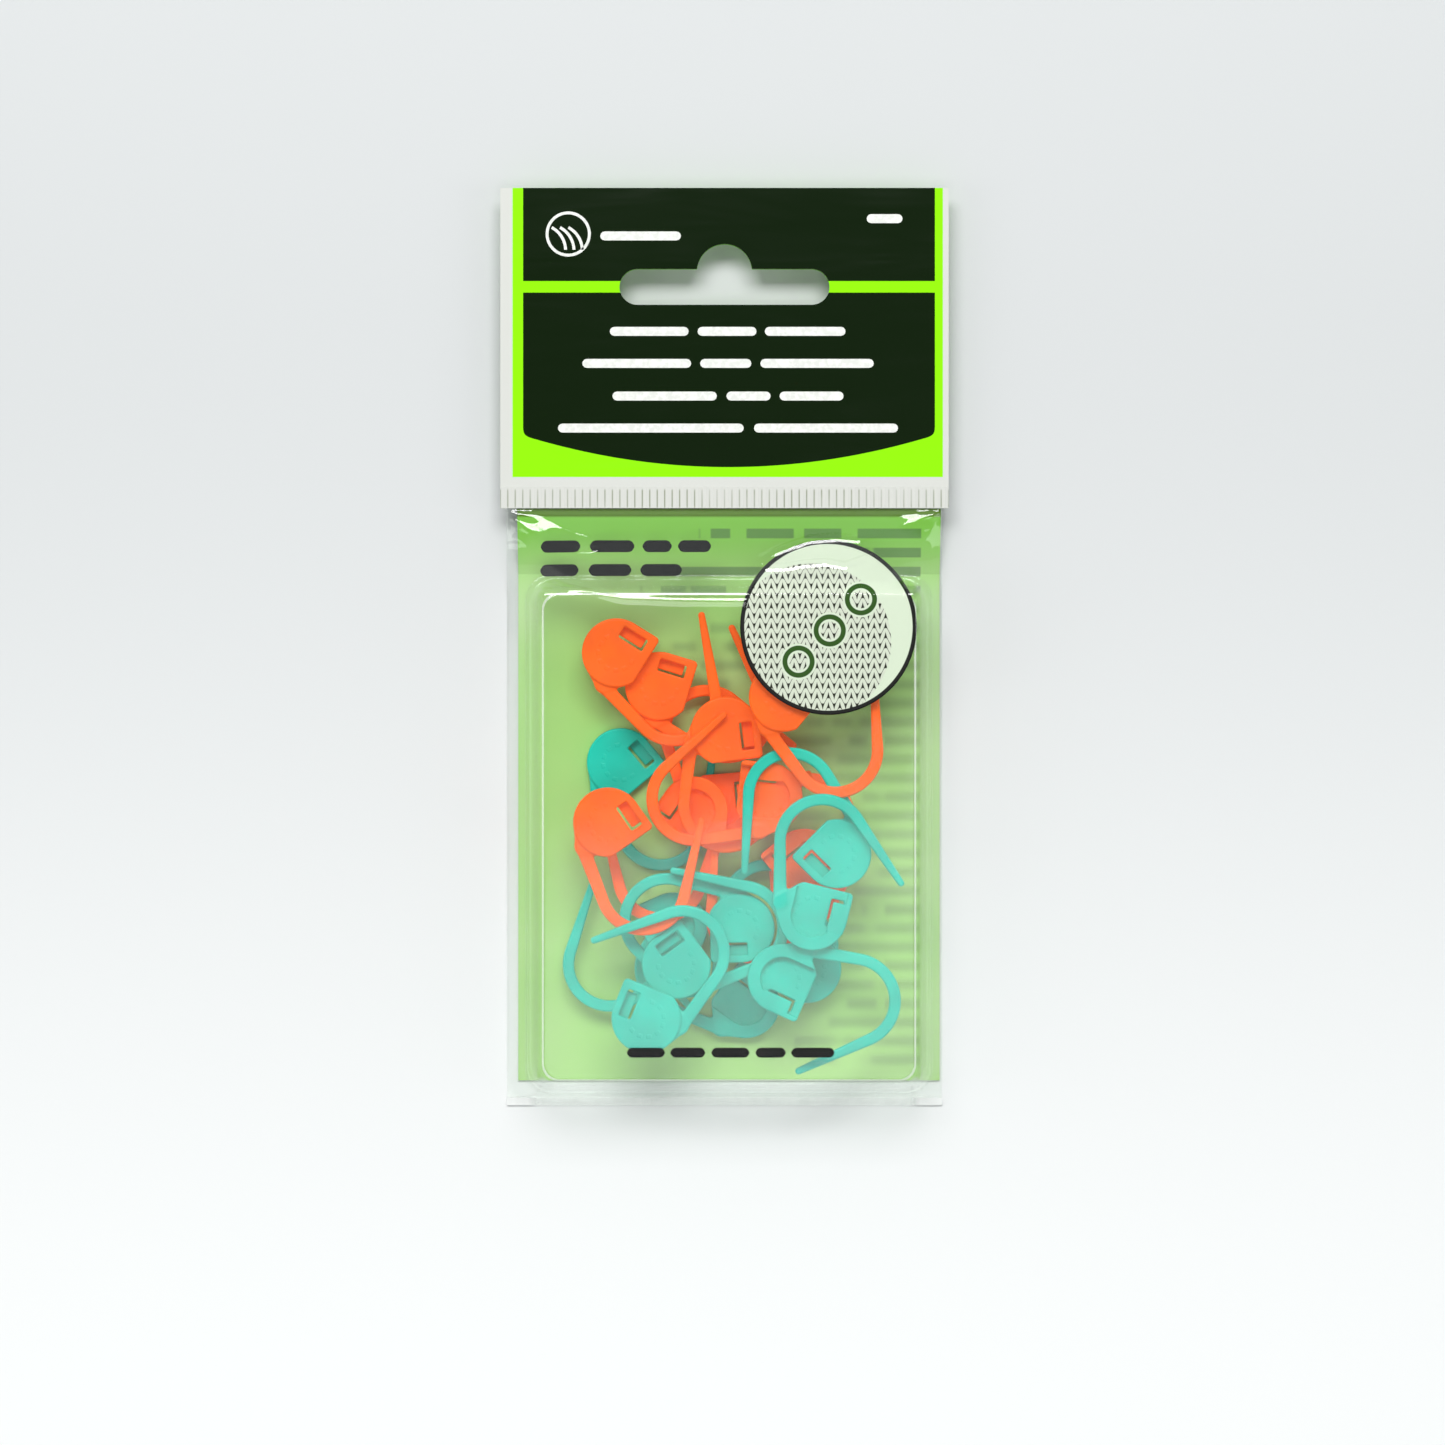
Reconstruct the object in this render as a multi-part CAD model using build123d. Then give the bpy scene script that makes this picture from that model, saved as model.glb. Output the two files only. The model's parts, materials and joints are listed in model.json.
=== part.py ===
"""Hang pack of twenty plastic locking stitch markers.

A printed header card with a hang slot closes a clear film bag. The bag holds a translucent
backing sheet and a clear blister tray, and the tray holds ten orange and ten teal markers.
Each marker is one moulding: a round head with a catch window, and an arm that bends back
in an open U to a tapered pin. The U bend is a living hinge, so head and arm are two nodes.

X is across the pack, Y runs up to the header, Z points out of the front. Millimetres.
The origin is the middle of the pack's outline, on the plane that its back lies on.
"""
import os
from math import cos, radians, sin, tan

from build123d import *

os.makedirs("parts", exist_ok=True)

# Header card and its heat seal
PACK_WIDTH = 70.0
HEADER_HEIGHT = 50.0
HEADER_LIFT = 3.6
CARD_THICK = 0.3
SEAL_HEIGHT = 3.3
RIB_COUNT = 60
RIB_RISE = 0.16

# Hang slot
SLOT_WIDTH = 32.8
SLOT_HEIGHT = 5.6
SLOT_DROP = 15.45
LOBE_RADIUS = 4.3
LOBE_RISE = 2.4

# Blister tray
FLANGE_WIDTH = 64.2
FLANGE_HEIGHT = 81.8
FLANGE_THICK = 0.4
FLANGE_RIM = 1.2
DRAFT_INSET = 1.7
TRAY_WALL = 0.35
TRAY_CORNER = 4.0
TRAY_SHIFT = 0.7

# Film bag and backing sheet, with their margins round the tray
BAG_MARGIN = 2.1
FILM_RUN = 10.2
FILM_THICK = 0.1
FILM_GAP = 0.04
WELD_HEIGHT = 1.2
WELD_MARGIN = 0.4
SHEET_MARGIN = 1.1
SHEET_FOOT = 2.3
SHEET_THICK = 0.25

# Marker head
HEAD_RADIUS = 5.35
HEAD_THICK = 1.7
PLATE_THICK = 0.7
RIM_WIDTH = 2.0
TOP_EDGE = 4.7
CATCH_TILT = 14.0
CATCH_WALL = 0.8
ROOF_THICK = 0.35
WINDOW_LENGTH = 4.3
WINDOW_WIDTH = 1.95
WINDOW_BAR = 1.15
WINDOW_SHIFT = 1.1
CORNER_ROUND = 0.7

# Marker arm
ARM_THICK = 1.1
ARM_WIDTH = 1.8
NECK_WIDTH = 2.1
NECK_OFFSET = 5.05
NECK_LENGTH = 11.4
BEND_RADIUS = 6.5
SPLAY = 34.0
PIN_LENGTH = 12.1
TIP_WIDTH = 1.05
HINGE_ANGLE = 57.0
KNUCKLE_SHARE = 1.12
KNUCKLE_GAP = 0.05

# Pile of markers: the play over, under and beside each, and how far its pin may swing
LEVEL_GAP = 0.1
FLOOR_GAP = 0.1
SIDE_GAP = 0.12
SWING_ANGLES = (-3, 0, 8, 16, 24)

# One overrun serves every cut
CUT = 1.0
HALF_TURN_ANGLE = 180

# Places of the markers: across and up the tray, as shares of the play that each has between
# its walls, the turn of the neck from +X in degrees, the order in which they were dropped in,
# and the side that faces the front of the pack
ORANGE_SHARES = {
    "orange_01": (-0.67, 0.91, -46, 9, "face"),
    "orange_02": (-0.26, 0.83, -31, 6, "face"),
    "orange_03": (0.15, 0.37, -97, 10, "face"),
    "orange_04": (0.75, 0.61, -53, 17, "face"),
    "orange_05": (-0.76, -0.15, -69, 16, "face"),
    "orange_06": (-0.59, -0.09, -110, 7, "back"),
    "orange_07": (-0.05, 0.34, 188, 12, "back"),
    "orange_08": (0.36, -0.35, -127, 8, "back"),
    "orange_09": (0.00, 0.46, 109, 3, "back"),
    "orange_10": (0.51, -0.09, 80, 0, "face"),
}
TEAL_SHARES = {
    "teal_01": (-0.65, 0.21, -64, 1, "face"),
    "teal_02": (0.63, 0.11, 121, 14, "face"),
    "teal_03": (0.94, -0.21, 90, 18, "back"),
    "teal_04": (0.88, -1.00, -10, 15, "back"),
    "teal_05": (-0.31, -0.62, 167, 11, "face"),
    "teal_06": (-0.12, -0.55, 22, 13, "face"),
    "teal_07": (-0.59, -0.84, 54, 19, "face"),
    "teal_08": (-0.86, -0.63, 218, 4, "back"),
    "teal_09": (0.39, -0.57, 115, 5, "face"),
    "teal_10": (-0.20, -0.80, 158, 2, "back"),
}

# Sizes, heights and centres that follow
PACK_HEIGHT = HEADER_HEIGHT + FILM_RUN + FLANGE_HEIGHT + WELD_MARGIN + WELD_HEIGHT
BAG_WIDTH = FLANGE_WIDTH + 2 * BAG_MARGIN
SHEET_WIDTH = BAG_WIDTH - 2 * SHEET_MARGIN
FACE_WIDTH = FLANGE_WIDTH - 2 * FLANGE_RIM - 2 * DRAFT_INSET
FACE_HEIGHT = FLANGE_HEIGHT - 2 * FLANGE_RIM - 2 * DRAFT_INSET
TOP_Y = PACK_HEIGHT / 2
BOTTOM_Y = -PACK_HEIGHT / 2
SEAL_Y = TOP_Y - HEADER_HEIGHT
SLOT_Y = TOP_Y - SLOT_DROP
SHEET_Z = FILM_THICK + FILM_GAP
FLANGE_Z = SHEET_Z + SHEET_THICK + FILM_GAP
STACK_Z = SHEET_Z + SHEET_THICK + FLOOR_GAP
TRAY_Y = BOTTOM_Y + WELD_HEIGHT + WELD_MARGIN + FLANGE_HEIGHT / 2
RIM_HEIGHT = HEAD_THICK - PLATE_THICK
TAIL_GAP = 2 * FILM_THICK + 3 * FILM_GAP
FRONT_CARD_Z = HEADER_LIFT + CARD_THICK + TAIL_GAP


def save(name, shape):
    """Write one node as STEP."""
    export_step(shape, "parts/" + name + ".step")


def plate(sketch, low, high):
    """Extrude a plan sketch between two heights."""
    return extrude(Plane.XY.offset(low) * sketch, high - low)


def block(low_v, high_v, low_u, high_u):
    """Plan rectangle on the catch axes: v out through the catch side, u towards the bend."""
    middle = Pos(-(low_v + high_v) / 2, (low_u + high_u) / 2)
    return Rot(0, 0, CATCH_TILT) * middle * Rectangle(high_v - low_v, high_u - low_u)


def head_plan(core):
    """Outline of the head: a round core cut off at the top edge, and the square catch corner."""
    corner = block(HEAD_RADIUS - 2 * CORNER_ROUND, HEAD_RADIUS, 0, TOP_EDGE)
    inner = block(0, HEAD_RADIUS - CORNER_ROUND, 0, TOP_EDGE)
    tip = Rot(0, 0, CATCH_TILT) * Pos(CORNER_ROUND - HEAD_RADIUS, TOP_EDGE - CORNER_ROUND)
    square = block(0, HEAD_RADIUS, 0, TOP_EDGE - CORNER_ROUND) + inner
    square = square + tip * Circle(CORNER_ROUND)
    beyond = block(-2 * HEAD_RADIUS, 2 * HEAD_RADIUS, TOP_EDGE, 3 * HEAD_RADIUS)
    return core - beyond + square


def bend_point(angle, reach):
    """Point at an angle round the U bend's centre."""
    x = NECK_OFFSET - BEND_RADIUS + reach * cos(radians(angle))
    return (x, NECK_LENGTH + reach * sin(radians(angle)))


def bend_sector(start, stop):
    """Part of the U bend, as a band of the arm's width."""
    centre = Pos(NECK_OFFSET - BEND_RADIUS, NECK_LENGTH)
    inner = BEND_RADIUS - ARM_WIDTH / 2
    outer = BEND_RADIUS + ARM_WIDTH / 2
    middle = (start + stop) / 2
    reach = outer * 2
    wedge = make_face(Polyline([
        bend_point(0, 0), bend_point(start, reach), bend_point(middle, 2 * reach),
        bend_point(stop, reach)], close=True))
    return (centre * (Circle(outer) - Circle(inner))) & wedge


def neck_plan():
    """Straight neck, wider at the head, with a small gusset on its inner side."""
    outer = NECK_OFFSET + NECK_WIDTH / 2
    inner = NECK_OFFSET - NECK_WIDTH / 2
    foot = (TOP_EDGE + outer * sin(radians(CATCH_TILT))) / cos(radians(CATCH_TILT))
    strip = make_face(Polyline([
        (outer, 0), (outer, foot), (NECK_OFFSET + ARM_WIDTH / 2, NECK_LENGTH),
        (NECK_OFFSET - ARM_WIDTH / 2, NECK_LENGTH), (inner, foot), (inner, 0)], close=True))
    gusset = make_face(Polyline([
        (inner, foot + NECK_WIDTH / 2), (inner - NECK_WIDTH, foot - NECK_WIDTH),
        (inner, foot - NECK_WIDTH)], close=True))
    return strip + gusset


def pin_plan():
    """Tapered pin with a round tip, from the end of the bend."""
    end = HALF_TURN_ANGLE - SPLAY
    along = (-sin(radians(SPLAY)), -cos(radians(SPLAY)))
    across = (cos(radians(SPLAY)), -sin(radians(SPLAY)))
    root = bend_point(end, BEND_RADIUS)
    tip = (root[0] + PIN_LENGTH * along[0], root[1] + PIN_LENGTH * along[1])
    corners = []
    for point, half in ((root, ARM_WIDTH / 2), (tip, TIP_WIDTH / 2)):
        for side in (1, -1):
            corners.append((point[0] + side * half * across[0], point[1] + side * half * across[1]))
    body = make_face(Polyline([corners[0], corners[1], corners[3], corners[2]], close=True))
    return body + Pos(tip[0], tip[1]) * Circle(TIP_WIDTH / 2)


def rim_plan():
    """Outline of the head's rim: the round core drawn out to the root of the neck."""
    root = Pos(NECK_OFFSET, NECK_WIDTH) * Circle(NECK_WIDTH / 2)
    return head_plan(make_hull(Circle(HEAD_RADIUS).edges() + root.edges()))


def arm_plan():
    """Outline of the moving half of the bend and the pin, round the hinge's knuckle."""
    hinge = bend_point(HINGE_ANGLE, BEND_RADIUS)
    knuckle = Pos(hinge[0], hinge[1]) * Circle(KNUCKLE_SHARE * ARM_WIDTH / 2)
    return bend_sector(HINGE_ANGLE, HALF_TURN_ANGLE - SPLAY) + knuckle + pin_plan()


def marker_head():
    """Head with its front plate, catch and neck, and the bend up to the living hinge."""
    inner = HEAD_RADIUS - RIM_WIDTH
    wall_v = HEAD_RADIUS - CATCH_WALL
    roof_low = WINDOW_SHIFT - WINDOW_LENGTH / 2 - CATCH_WALL
    roof_high = WINDOW_SHIFT + WINDOW_LENGTH / 2 - CATCH_WALL / 2
    pocket = Circle(inner) + block(-inner, inner, 0, TOP_EDGE + CUT)
    pocket = pocket + block(0, wall_v, roof_low, TOP_EDGE + CUT)
    window_v = HEAD_RADIUS - WINDOW_BAR
    window = block(window_v - WINDOW_WIDTH, window_v,
                   WINDOW_SHIFT - WINDOW_LENGTH / 2, WINDOW_SHIFT + WINDOW_LENGTH / 2)
    roof = block(window_v - WINDOW_WIDTH + ROOF_THICK, HEAD_RADIUS, roof_low, roof_high)
    hinge = bend_point(HINGE_ANGLE, BEND_RADIUS)
    socket = Pos(hinge[0], hinge[1]) * Circle(KNUCKLE_SHARE * ARM_WIDTH / 2 + KNUCKLE_GAP)
    arm = neck_plan() + bend_sector(0, HINGE_ANGLE) - socket - pocket
    front = plate(head_plan(Circle(HEAD_RADIUS)) - window, RIM_HEIGHT, HEAD_THICK)
    rim = plate(rim_plan() - pocket, 0, RIM_HEIGHT)
    return front + rim + plate(roof, 0, ROOF_THICK) + plate(arm, 0, ARM_THICK)


def marker_arm():
    """Moving half of the bend and the pin."""
    return plate(arm_plan(), 0, ARM_THICK)


def swept_plan():
    """All that the neck, the bend and the swinging pin cover."""
    hinge = bend_point(HINGE_ANGLE, BEND_RADIUS)
    plan = neck_plan() + bend_sector(0, HINGE_ANGLE)
    for angle in SWING_ANGLES:
        swing = Pos(hinge[0], hinge[1]) * Rot(0, 0, angle) * Pos(-hinge[0], -hinge[1])
        plan = plan + swing * arm_plan()
    return plan


def lay_down(turn, side):
    """Turn of a marker about its head's centre, and over where its back faces the front."""
    if side == "back":
        return Rot(0, 0, turn - 90) * Pos(0, 0, HEAD_THICK) * Rot(0, HALF_TURN_ANGLE, 0)
    return Rot(0, 0, turn - 90)


def footprints(turn, side):
    """Plan, lowest and highest point of a marker's head, and of what its arm sweeps."""
    found = []
    for plan, thick in ((HEAD_FOOTPRINT, HEAD_THICK), (ARM_FOOTPRINT, ARM_THICK)):
        low = HEAD_THICK - thick if side == "back" else 0
        laid = lay_down(turn, side) * plan
        found.append((Pos(0, 0, -laid.center().Z) * laid, low, low + thick))
    return found


def beside(box, other):
    """Whether two plans' boxes lie clear of each other."""
    return (box.min.X > other.max.X + SIDE_GAP or other.min.X > box.max.X + SIDE_GAP
            or box.min.Y > other.max.Y + SIDE_GAP or other.min.Y > box.max.Y + SIDE_GAP)


def middle_between(walls, share, low, high):
    """Shift that puts a span at a share of its play to either side between two walls."""
    return share * (walls / 2 - TRAY_WALL - SIDE_GAP - (high - low) / 2) - (low + high) / 2


def drop_markers(places):
    """Lay the markers down in turn: each comes to rest on the highest thing under it."""
    seats, lying = {}, []
    for name, spot in sorted(places.items(), key=lambda row: row[1][3]):
        share_x, share_y, turn, _, side = spot
        prints = footprints(turn, side)
        span = prints[0][0].bounding_box().add(prints[1][0].bounding_box())
        x = TRAY_SHIFT + middle_between(FACE_WIDTH, share_x, span.min.X, span.max.X)
        y = TRAY_Y + middle_between(FACE_HEIGHT, share_y, span.min.Y, span.max.Y)
        height = 0
        prints = [(Pos(x, y) * plan, low, high) for plan, low, high in prints]
        boxes = [plan.bounding_box() for plan, _, _ in prints]
        for (plan, low, _), box in zip(prints, boxes):
            for under, top, under_box in lying:
                rise = top + LEVEL_GAP - low
                if rise > height and not beside(box, under_box):
                    if plan.distance_to(under) < SIDE_GAP:
                        height = rise
        for (plan, _, high), box in zip(prints, boxes):
            lying.append((plan, high + height, box))
        seats[name] = Pos(x, y, STACK_Z + height) * lay_down(turn, side)
    return seats, max(top for _, top, _ in lying)


HEAD_FOOTPRINT = rim_plan()
ARM_FOOTPRINT = swept_plan()
SEATS, STACK_HEIGHT = drop_markers({**ORANGE_SHARES, **TEAL_SHARES})
TRAY_TOP = STACK_Z + STACK_HEIGHT + FLOOR_GAP + TRAY_WALL
FILM_TOP = TRAY_TOP + FILM_GAP


def slot_sketch(ease):
    """Plan of the hang slot, grown all round by ease."""
    body = SlotOverall(SLOT_WIDTH + 2 * ease, SLOT_HEIGHT + 2 * ease)
    lobe = Pos(0, LOBE_RISE) * Circle(LOBE_RADIUS + ease)
    return Pos(0, SLOT_Y) * (body + lobe)


def card(low):
    """One printed header panel with the slot through it."""
    sheet = Pos(0, TOP_Y - HEADER_HEIGHT / 2) * Rectangle(PACK_WIDTH, HEADER_HEIGHT)
    return plate(sheet - slot_sketch(0), low, low + CARD_THICK)


def seal_ribs():
    """Corrugated skin of the heat seal: one ridge per rib along the card's lower edge."""
    pitch = PACK_WIDTH / RIB_COUNT
    base = FRONT_CARD_Z + CARD_THICK
    points = [(-PACK_WIDTH / 2, base - CARD_THICK / 2)]
    for i in range(RIB_COUNT):
        left = -PACK_WIDTH / 2 + i * pitch
        points.append((left, base))
        points.append((left + pitch / 2, base + RIB_RISE))
    points.append((PACK_WIDTH / 2, base))
    points.append((PACK_WIDTH / 2, base - CARD_THICK / 2))
    outline = make_face(Polyline(points, close=True))
    return Pos(0, SEAL_Y + SEAL_HEIGHT) * extrude(Plane.XZ * outline, SEAL_HEIGHT)


def ribbon(stations, thick, width):
    """A sheet across the pack that follows (y, z) stations of its lower side."""
    upper = [(y, z + thick) for y, z in reversed(stations)]
    outline = make_face(Polyline(stations + upper, close=True))
    return Pos(-width / 2) * extrude(Plane.YZ * outline, width)


def back_film():
    """Rear film: flat under the tray, then rising into the seal."""
    stations = [
        (BOTTOM_Y, 0),
        (TRAY_Y + FLANGE_HEIGHT / 2, 0),
        (SEAL_Y, HEADER_LIFT + CARD_THICK + FILM_GAP),
        (SEAL_Y + SEAL_HEIGHT, HEADER_LIFT + CARD_THICK + FILM_GAP),
    ]
    return ribbon(stations, FILM_THICK, BAG_WIDTH)


def backing_sheet():
    """Printed translucent sheet that lies on the rear film, up to just under the seal."""
    low = TRAY_Y - FLANGE_HEIGHT / 2 + SHEET_FOOT
    bend = TRAY_Y + FLANGE_HEIGHT / 2
    high = SEAL_Y - SHEET_MARGIN
    slope = (HEADER_LIFT + CARD_THICK + FILM_GAP) / (SEAL_Y - bend)
    stations = [(low, SHEET_Z), (bend, SHEET_Z), (high, SHEET_Z + slope * (high - bend))]
    return Pos(TRAY_SHIFT) * ribbon(stations, SHEET_THICK, SHEET_WIDTH)


def tent(grow):
    """Solid under the front film, grown outwards by grow: over the tray and up to the seal."""
    top = FILM_TOP + grow
    half = FACE_WIDTH / 2 + FILM_GAP + grow
    low_y = TRAY_Y - FACE_HEIGHT / 2 - FILM_GAP - grow
    high_y = TRAY_Y + FACE_HEIGHT / 2 + FILM_GAP + grow
    side = BAG_WIDTH / 2 - FILM_THICK + grow
    weld_y = BOTTOM_Y + WELD_HEIGHT + FILM_GAP + FILM_THICK - grow
    shoulder = TRAY_Y + FLANGE_HEIGHT / 2
    seal_z = HEADER_LIFT + CARD_THICK + FILM_THICK + 2 * FILM_GAP + grow
    floor = FILM_THICK + FILM_GAP
    a, b = (TRAY_SHIFT - half, low_y, top), (TRAY_SHIFT + half, low_y, top)
    c, d = (TRAY_SHIFT + half, high_y, top), (TRAY_SHIFT - half, high_y, top)
    e, f = (-side, weld_y, floor), (side, weld_y, floor)
    g, h = (side, shoulder, floor), (-side, shoulder, floor)
    i, j = (side, SEAL_Y, seal_z), (-side, SEAL_Y, seal_z)
    k, m = (side, SEAL_Y, seal_z - FILM_THICK), (-side, SEAL_Y, seal_z - FILM_THICK)
    loops = [
        (a, b, c, d), (a, e, f, b), (b, f, g, c), (a, d, h, e), (c, i, j, d),
        (c, g, i), (d, j, h), (i, k, m, j), (g, k, i), (h, j, m), (g, h, m, k), (e, h, g, f),
    ]
    faces = [make_face(Polyline(loop, close=True)) for loop in loops]
    return Solid(Shell([face.face() for face in faces]))


def front_film():
    """Front film stretched over the tray, its lower edge in the weld, its tail in the seal."""
    skin = tent(FILM_THICK) - tent(0)
    tail_z = HEADER_LIFT + CARD_THICK + FILM_THICK + 2 * FILM_GAP
    tail = Pos(0, SEAL_Y + SEAL_HEIGHT / 2) * Rectangle(BAG_WIDTH, SEAL_HEIGHT)
    return skin + plate(tail, tail_z, tail_z + FILM_THICK)


def bottom_weld():
    """Welded strip that closes the bag's lower end, on top of the rear film."""
    strip = Pos(0, BOTTOM_Y + WELD_HEIGHT / 2) * Rectangle(BAG_WIDTH, WELD_HEIGHT)
    return plate(strip, FILM_THICK, FILM_THICK + SHEET_THICK)


def tray_block(inset, top):
    """Drafted block with round corners, from the flange up to top, inset from the outside."""
    foot_w = FLANGE_WIDTH - 2 * FLANGE_RIM - 2 * inset
    foot_h = FLANGE_HEIGHT - 2 * FLANGE_RIM - 2 * inset
    corner = TRAY_CORNER - inset
    foot = Plane.XY.offset(FLANGE_Z) * RectangleRounded(foot_w, foot_h, corner)
    face = Plane.XY.offset(top) * RectangleRounded(
        FACE_WIDTH - 2 * inset, FACE_HEIGHT - 2 * inset, corner)
    return loft([foot.face(), face.face()], ruled=True)


def tray():
    """Vacuum-formed blister: drafted walls, a flat face and a flange round the foot."""
    flange = plate(RectangleRounded(FLANGE_WIDTH, FLANGE_HEIGHT, TRAY_CORNER),
                   FLANGE_Z, FLANGE_Z + FLANGE_THICK)
    shell = flange + tray_block(0, TRAY_TOP)
    return Pos(TRAY_SHIFT, TRAY_Y) * (shell - tray_block(TRAY_WALL, TRAY_TOP - TRAY_WALL))


PACK_NODES = {
    "header_front": card(FRONT_CARD_Z) + seal_ribs(),
    "header_back": card(HEADER_LIFT),
    "front_film": front_film(),
    "back_film": back_film(),
    "bottom_weld": bottom_weld(),
    "backing_sheet": backing_sheet(),
    "tray": tray(),
}
for node_name, node_shape in PACK_NODES.items():
    save(node_name, node_shape)

HEAD = marker_head()
ARM = marker_arm()
for marker_name, location in SEATS.items():
    save(marker_name + "_head", location * HEAD)
    save(marker_name + "_arm", location * ARM)
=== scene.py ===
"""Hang pack of twenty locking stitch markers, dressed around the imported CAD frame.

All lengths are in metres in the part's own frame: X across the pack, Y up to the header and Z
out of the front. Sizes are written in millimetres and multiplied by MM.
"""

import json
from math import cos, pi, radians, sin

import bpy
import numpy as np
from mathutils import Matrix, Vector


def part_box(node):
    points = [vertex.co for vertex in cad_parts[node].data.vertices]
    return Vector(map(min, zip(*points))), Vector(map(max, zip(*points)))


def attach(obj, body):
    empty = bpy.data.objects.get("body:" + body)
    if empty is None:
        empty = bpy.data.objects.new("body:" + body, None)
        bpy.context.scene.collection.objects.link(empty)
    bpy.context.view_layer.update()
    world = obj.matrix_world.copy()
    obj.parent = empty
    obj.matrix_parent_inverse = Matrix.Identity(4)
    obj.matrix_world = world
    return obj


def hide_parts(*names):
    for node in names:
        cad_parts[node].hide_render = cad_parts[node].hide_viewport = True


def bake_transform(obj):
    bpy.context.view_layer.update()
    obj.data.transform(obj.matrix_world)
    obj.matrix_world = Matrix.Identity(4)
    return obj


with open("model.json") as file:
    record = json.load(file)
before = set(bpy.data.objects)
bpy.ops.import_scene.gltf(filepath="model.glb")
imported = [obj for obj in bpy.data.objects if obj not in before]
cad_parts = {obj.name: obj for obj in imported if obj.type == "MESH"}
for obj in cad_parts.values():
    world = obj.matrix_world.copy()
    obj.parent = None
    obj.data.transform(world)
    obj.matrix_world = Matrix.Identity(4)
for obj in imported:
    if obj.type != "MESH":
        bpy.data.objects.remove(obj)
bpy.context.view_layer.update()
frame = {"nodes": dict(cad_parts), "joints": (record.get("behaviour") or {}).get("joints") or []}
MM = 0.001

# ---------------------------------------------------------------------------------------------
# The table, the lights and the camera. A pale paper sweep lies under the pack, with painted
# shade that darkens it towards the header's side; one softbox stands beyond the header, and a
# white card hangs overhead, which the film mirrors as a veil.
# ---------------------------------------------------------------------------------------------
SWEEP_SIZE = 1400 * MM
CAMERA_HEIGHT = 650 * MM
CAMERA_SPOT = (-0.31 * MM, -11.67 * MM)
FRAME_WIDTH = 227.2 * MM
SENSOR_WIDTH = 36.0
WORLD_SIDE, WORLD_TOP, SKY_TINT = 0.5, 0.04, (0.93, 0.97, 1.0, 1)
SWEEP_DROP = 0.05 * MM
# The paper's painted shade: darker far off beyond the header, lighter on the near side.
PAPER_SHADED, PAPER_LIT = (0.595, 0.612, 0.612, 1), (0.90, 0.915, 0.905, 1)
# Light crosses up to fourteen clear surfaces on its way through the pack.
CLEAR_SURFACES = 32


def new_object(name, verts, faces):
    """A mesh object with smooth faces at the origin."""
    mesh = bpy.data.meshes.new(name)
    mesh.from_pydata([tuple(v) for v in verts], [], [tuple(f) for f in faces])
    mesh.validate()
    mesh.update()
    mesh.shade_smooth()
    piece = bpy.data.objects.new(name, mesh)
    bpy.context.scene.collection.objects.link(piece)
    return piece


def new_material(name):
    """An empty node material, and its tree."""
    material = bpy.data.materials.new(name)
    material.use_nodes = True
    material.node_tree.nodes.clear()
    return material, material.node_tree


def node(tree, kind, settings=(), **values):
    """Add a node and set its properties and inputs, from sockets or plain values.

    An input is named with _ for each space, or numbered as i0, i1 and so on.
    """
    made = tree.nodes.new(kind)
    for key, value in dict(settings).items():
        setattr(made, key, value)
    for key, value in values.items():
        numbered = key[0] == "i" and key[1:].isdigit()
        socket = made.inputs[int(key[1:]) if numbered else key.replace("_", " ")]
        if isinstance(value, bpy.types.NodeSocket):
            tree.links.new(value, socket)
        else:
            socket.default_value = value
    return made


def calc(tree, operation, *values):
    """A Math node on up to three sockets or numbers."""
    inputs = {f"i{number}": value for number, value in enumerate(values)}
    return node(tree, "ShaderNodeMath", {"operation": operation}, **inputs).outputs[0]


def place_of(tree):
    """The surface point in the part's frame, and its X, Y and Z."""
    coords = tree.nodes.new("ShaderNodeTexCoord")
    split = node(tree, "ShaderNodeSeparateXYZ", Vector=coords.outputs["Object"])
    return coords.outputs["Object"], split.outputs[0], split.outputs[1], split.outputs[2]


def flat_place(tree):
    """The surface point in the part's frame, and its X and Y in millimetres."""
    where, x, y, _ = place_of(tree)
    return where, calc(tree, "DIVIDE", x, MM), calc(tree, "DIVIDE", y, MM)


def ramp(tree, value, low, high, from_value=0.0, to_value=1.0):
    """Smooth step of value from low to high, which can be sockets."""
    made = node(tree, "ShaderNodeMapRange", {"interpolation_type": "SMOOTHSTEP"}, i0=value, i1=low,
                i2=high, i3=from_value, i4=to_value)
    return made.outputs[0]


def mixed(tree, share, first, second):
    """Colour between first and second by share."""
    made = node(tree, "ShaderNodeMix", {"data_type": "RGBA"}, i0=share, i6=first, i7=second)
    return made.outputs[2]


def surface_of(tree, shader):
    """Connect a shader node to the material's output."""
    output = tree.nodes.new("ShaderNodeOutputMaterial")
    tree.links.new(shader.outputs[0], output.inputs["Surface"])


half = SWEEP_SIZE / 2
sweep = new_object("paper_sweep", [(-half, -half, 0), (half, -half, 0), (half, half, 0),
                                   (-half, half, 0)], [(0, 1, 2, 3)])
sweep.location.z = -SWEEP_DROP
paper, tree = new_material("sweep_paper")
where, _, y, _ = place_of(tree)
grain = node(tree, "ShaderNodeTexNoise", Vector=where, Scale=900.0, Detail=3.0)
# Painted shade: the paper's colour darkens from the near side towards the header's side.
paper_falloff_shade = mixed(tree, ramp(tree, y, 60 * MM, -150 * MM), PAPER_SHADED, PAPER_LIT)
bump = node(tree, "ShaderNodeBump", Strength=0.05, Distance=0.1 * MM, Height=grain.outputs[0])
surface_of(tree, node(tree, "ShaderNodeBsdfPrincipled", Base_Color=paper_falloff_shade, Roughness=0.75,
                      Normal=bump.outputs[0]))
sweep.data.materials.append(paper)


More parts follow.
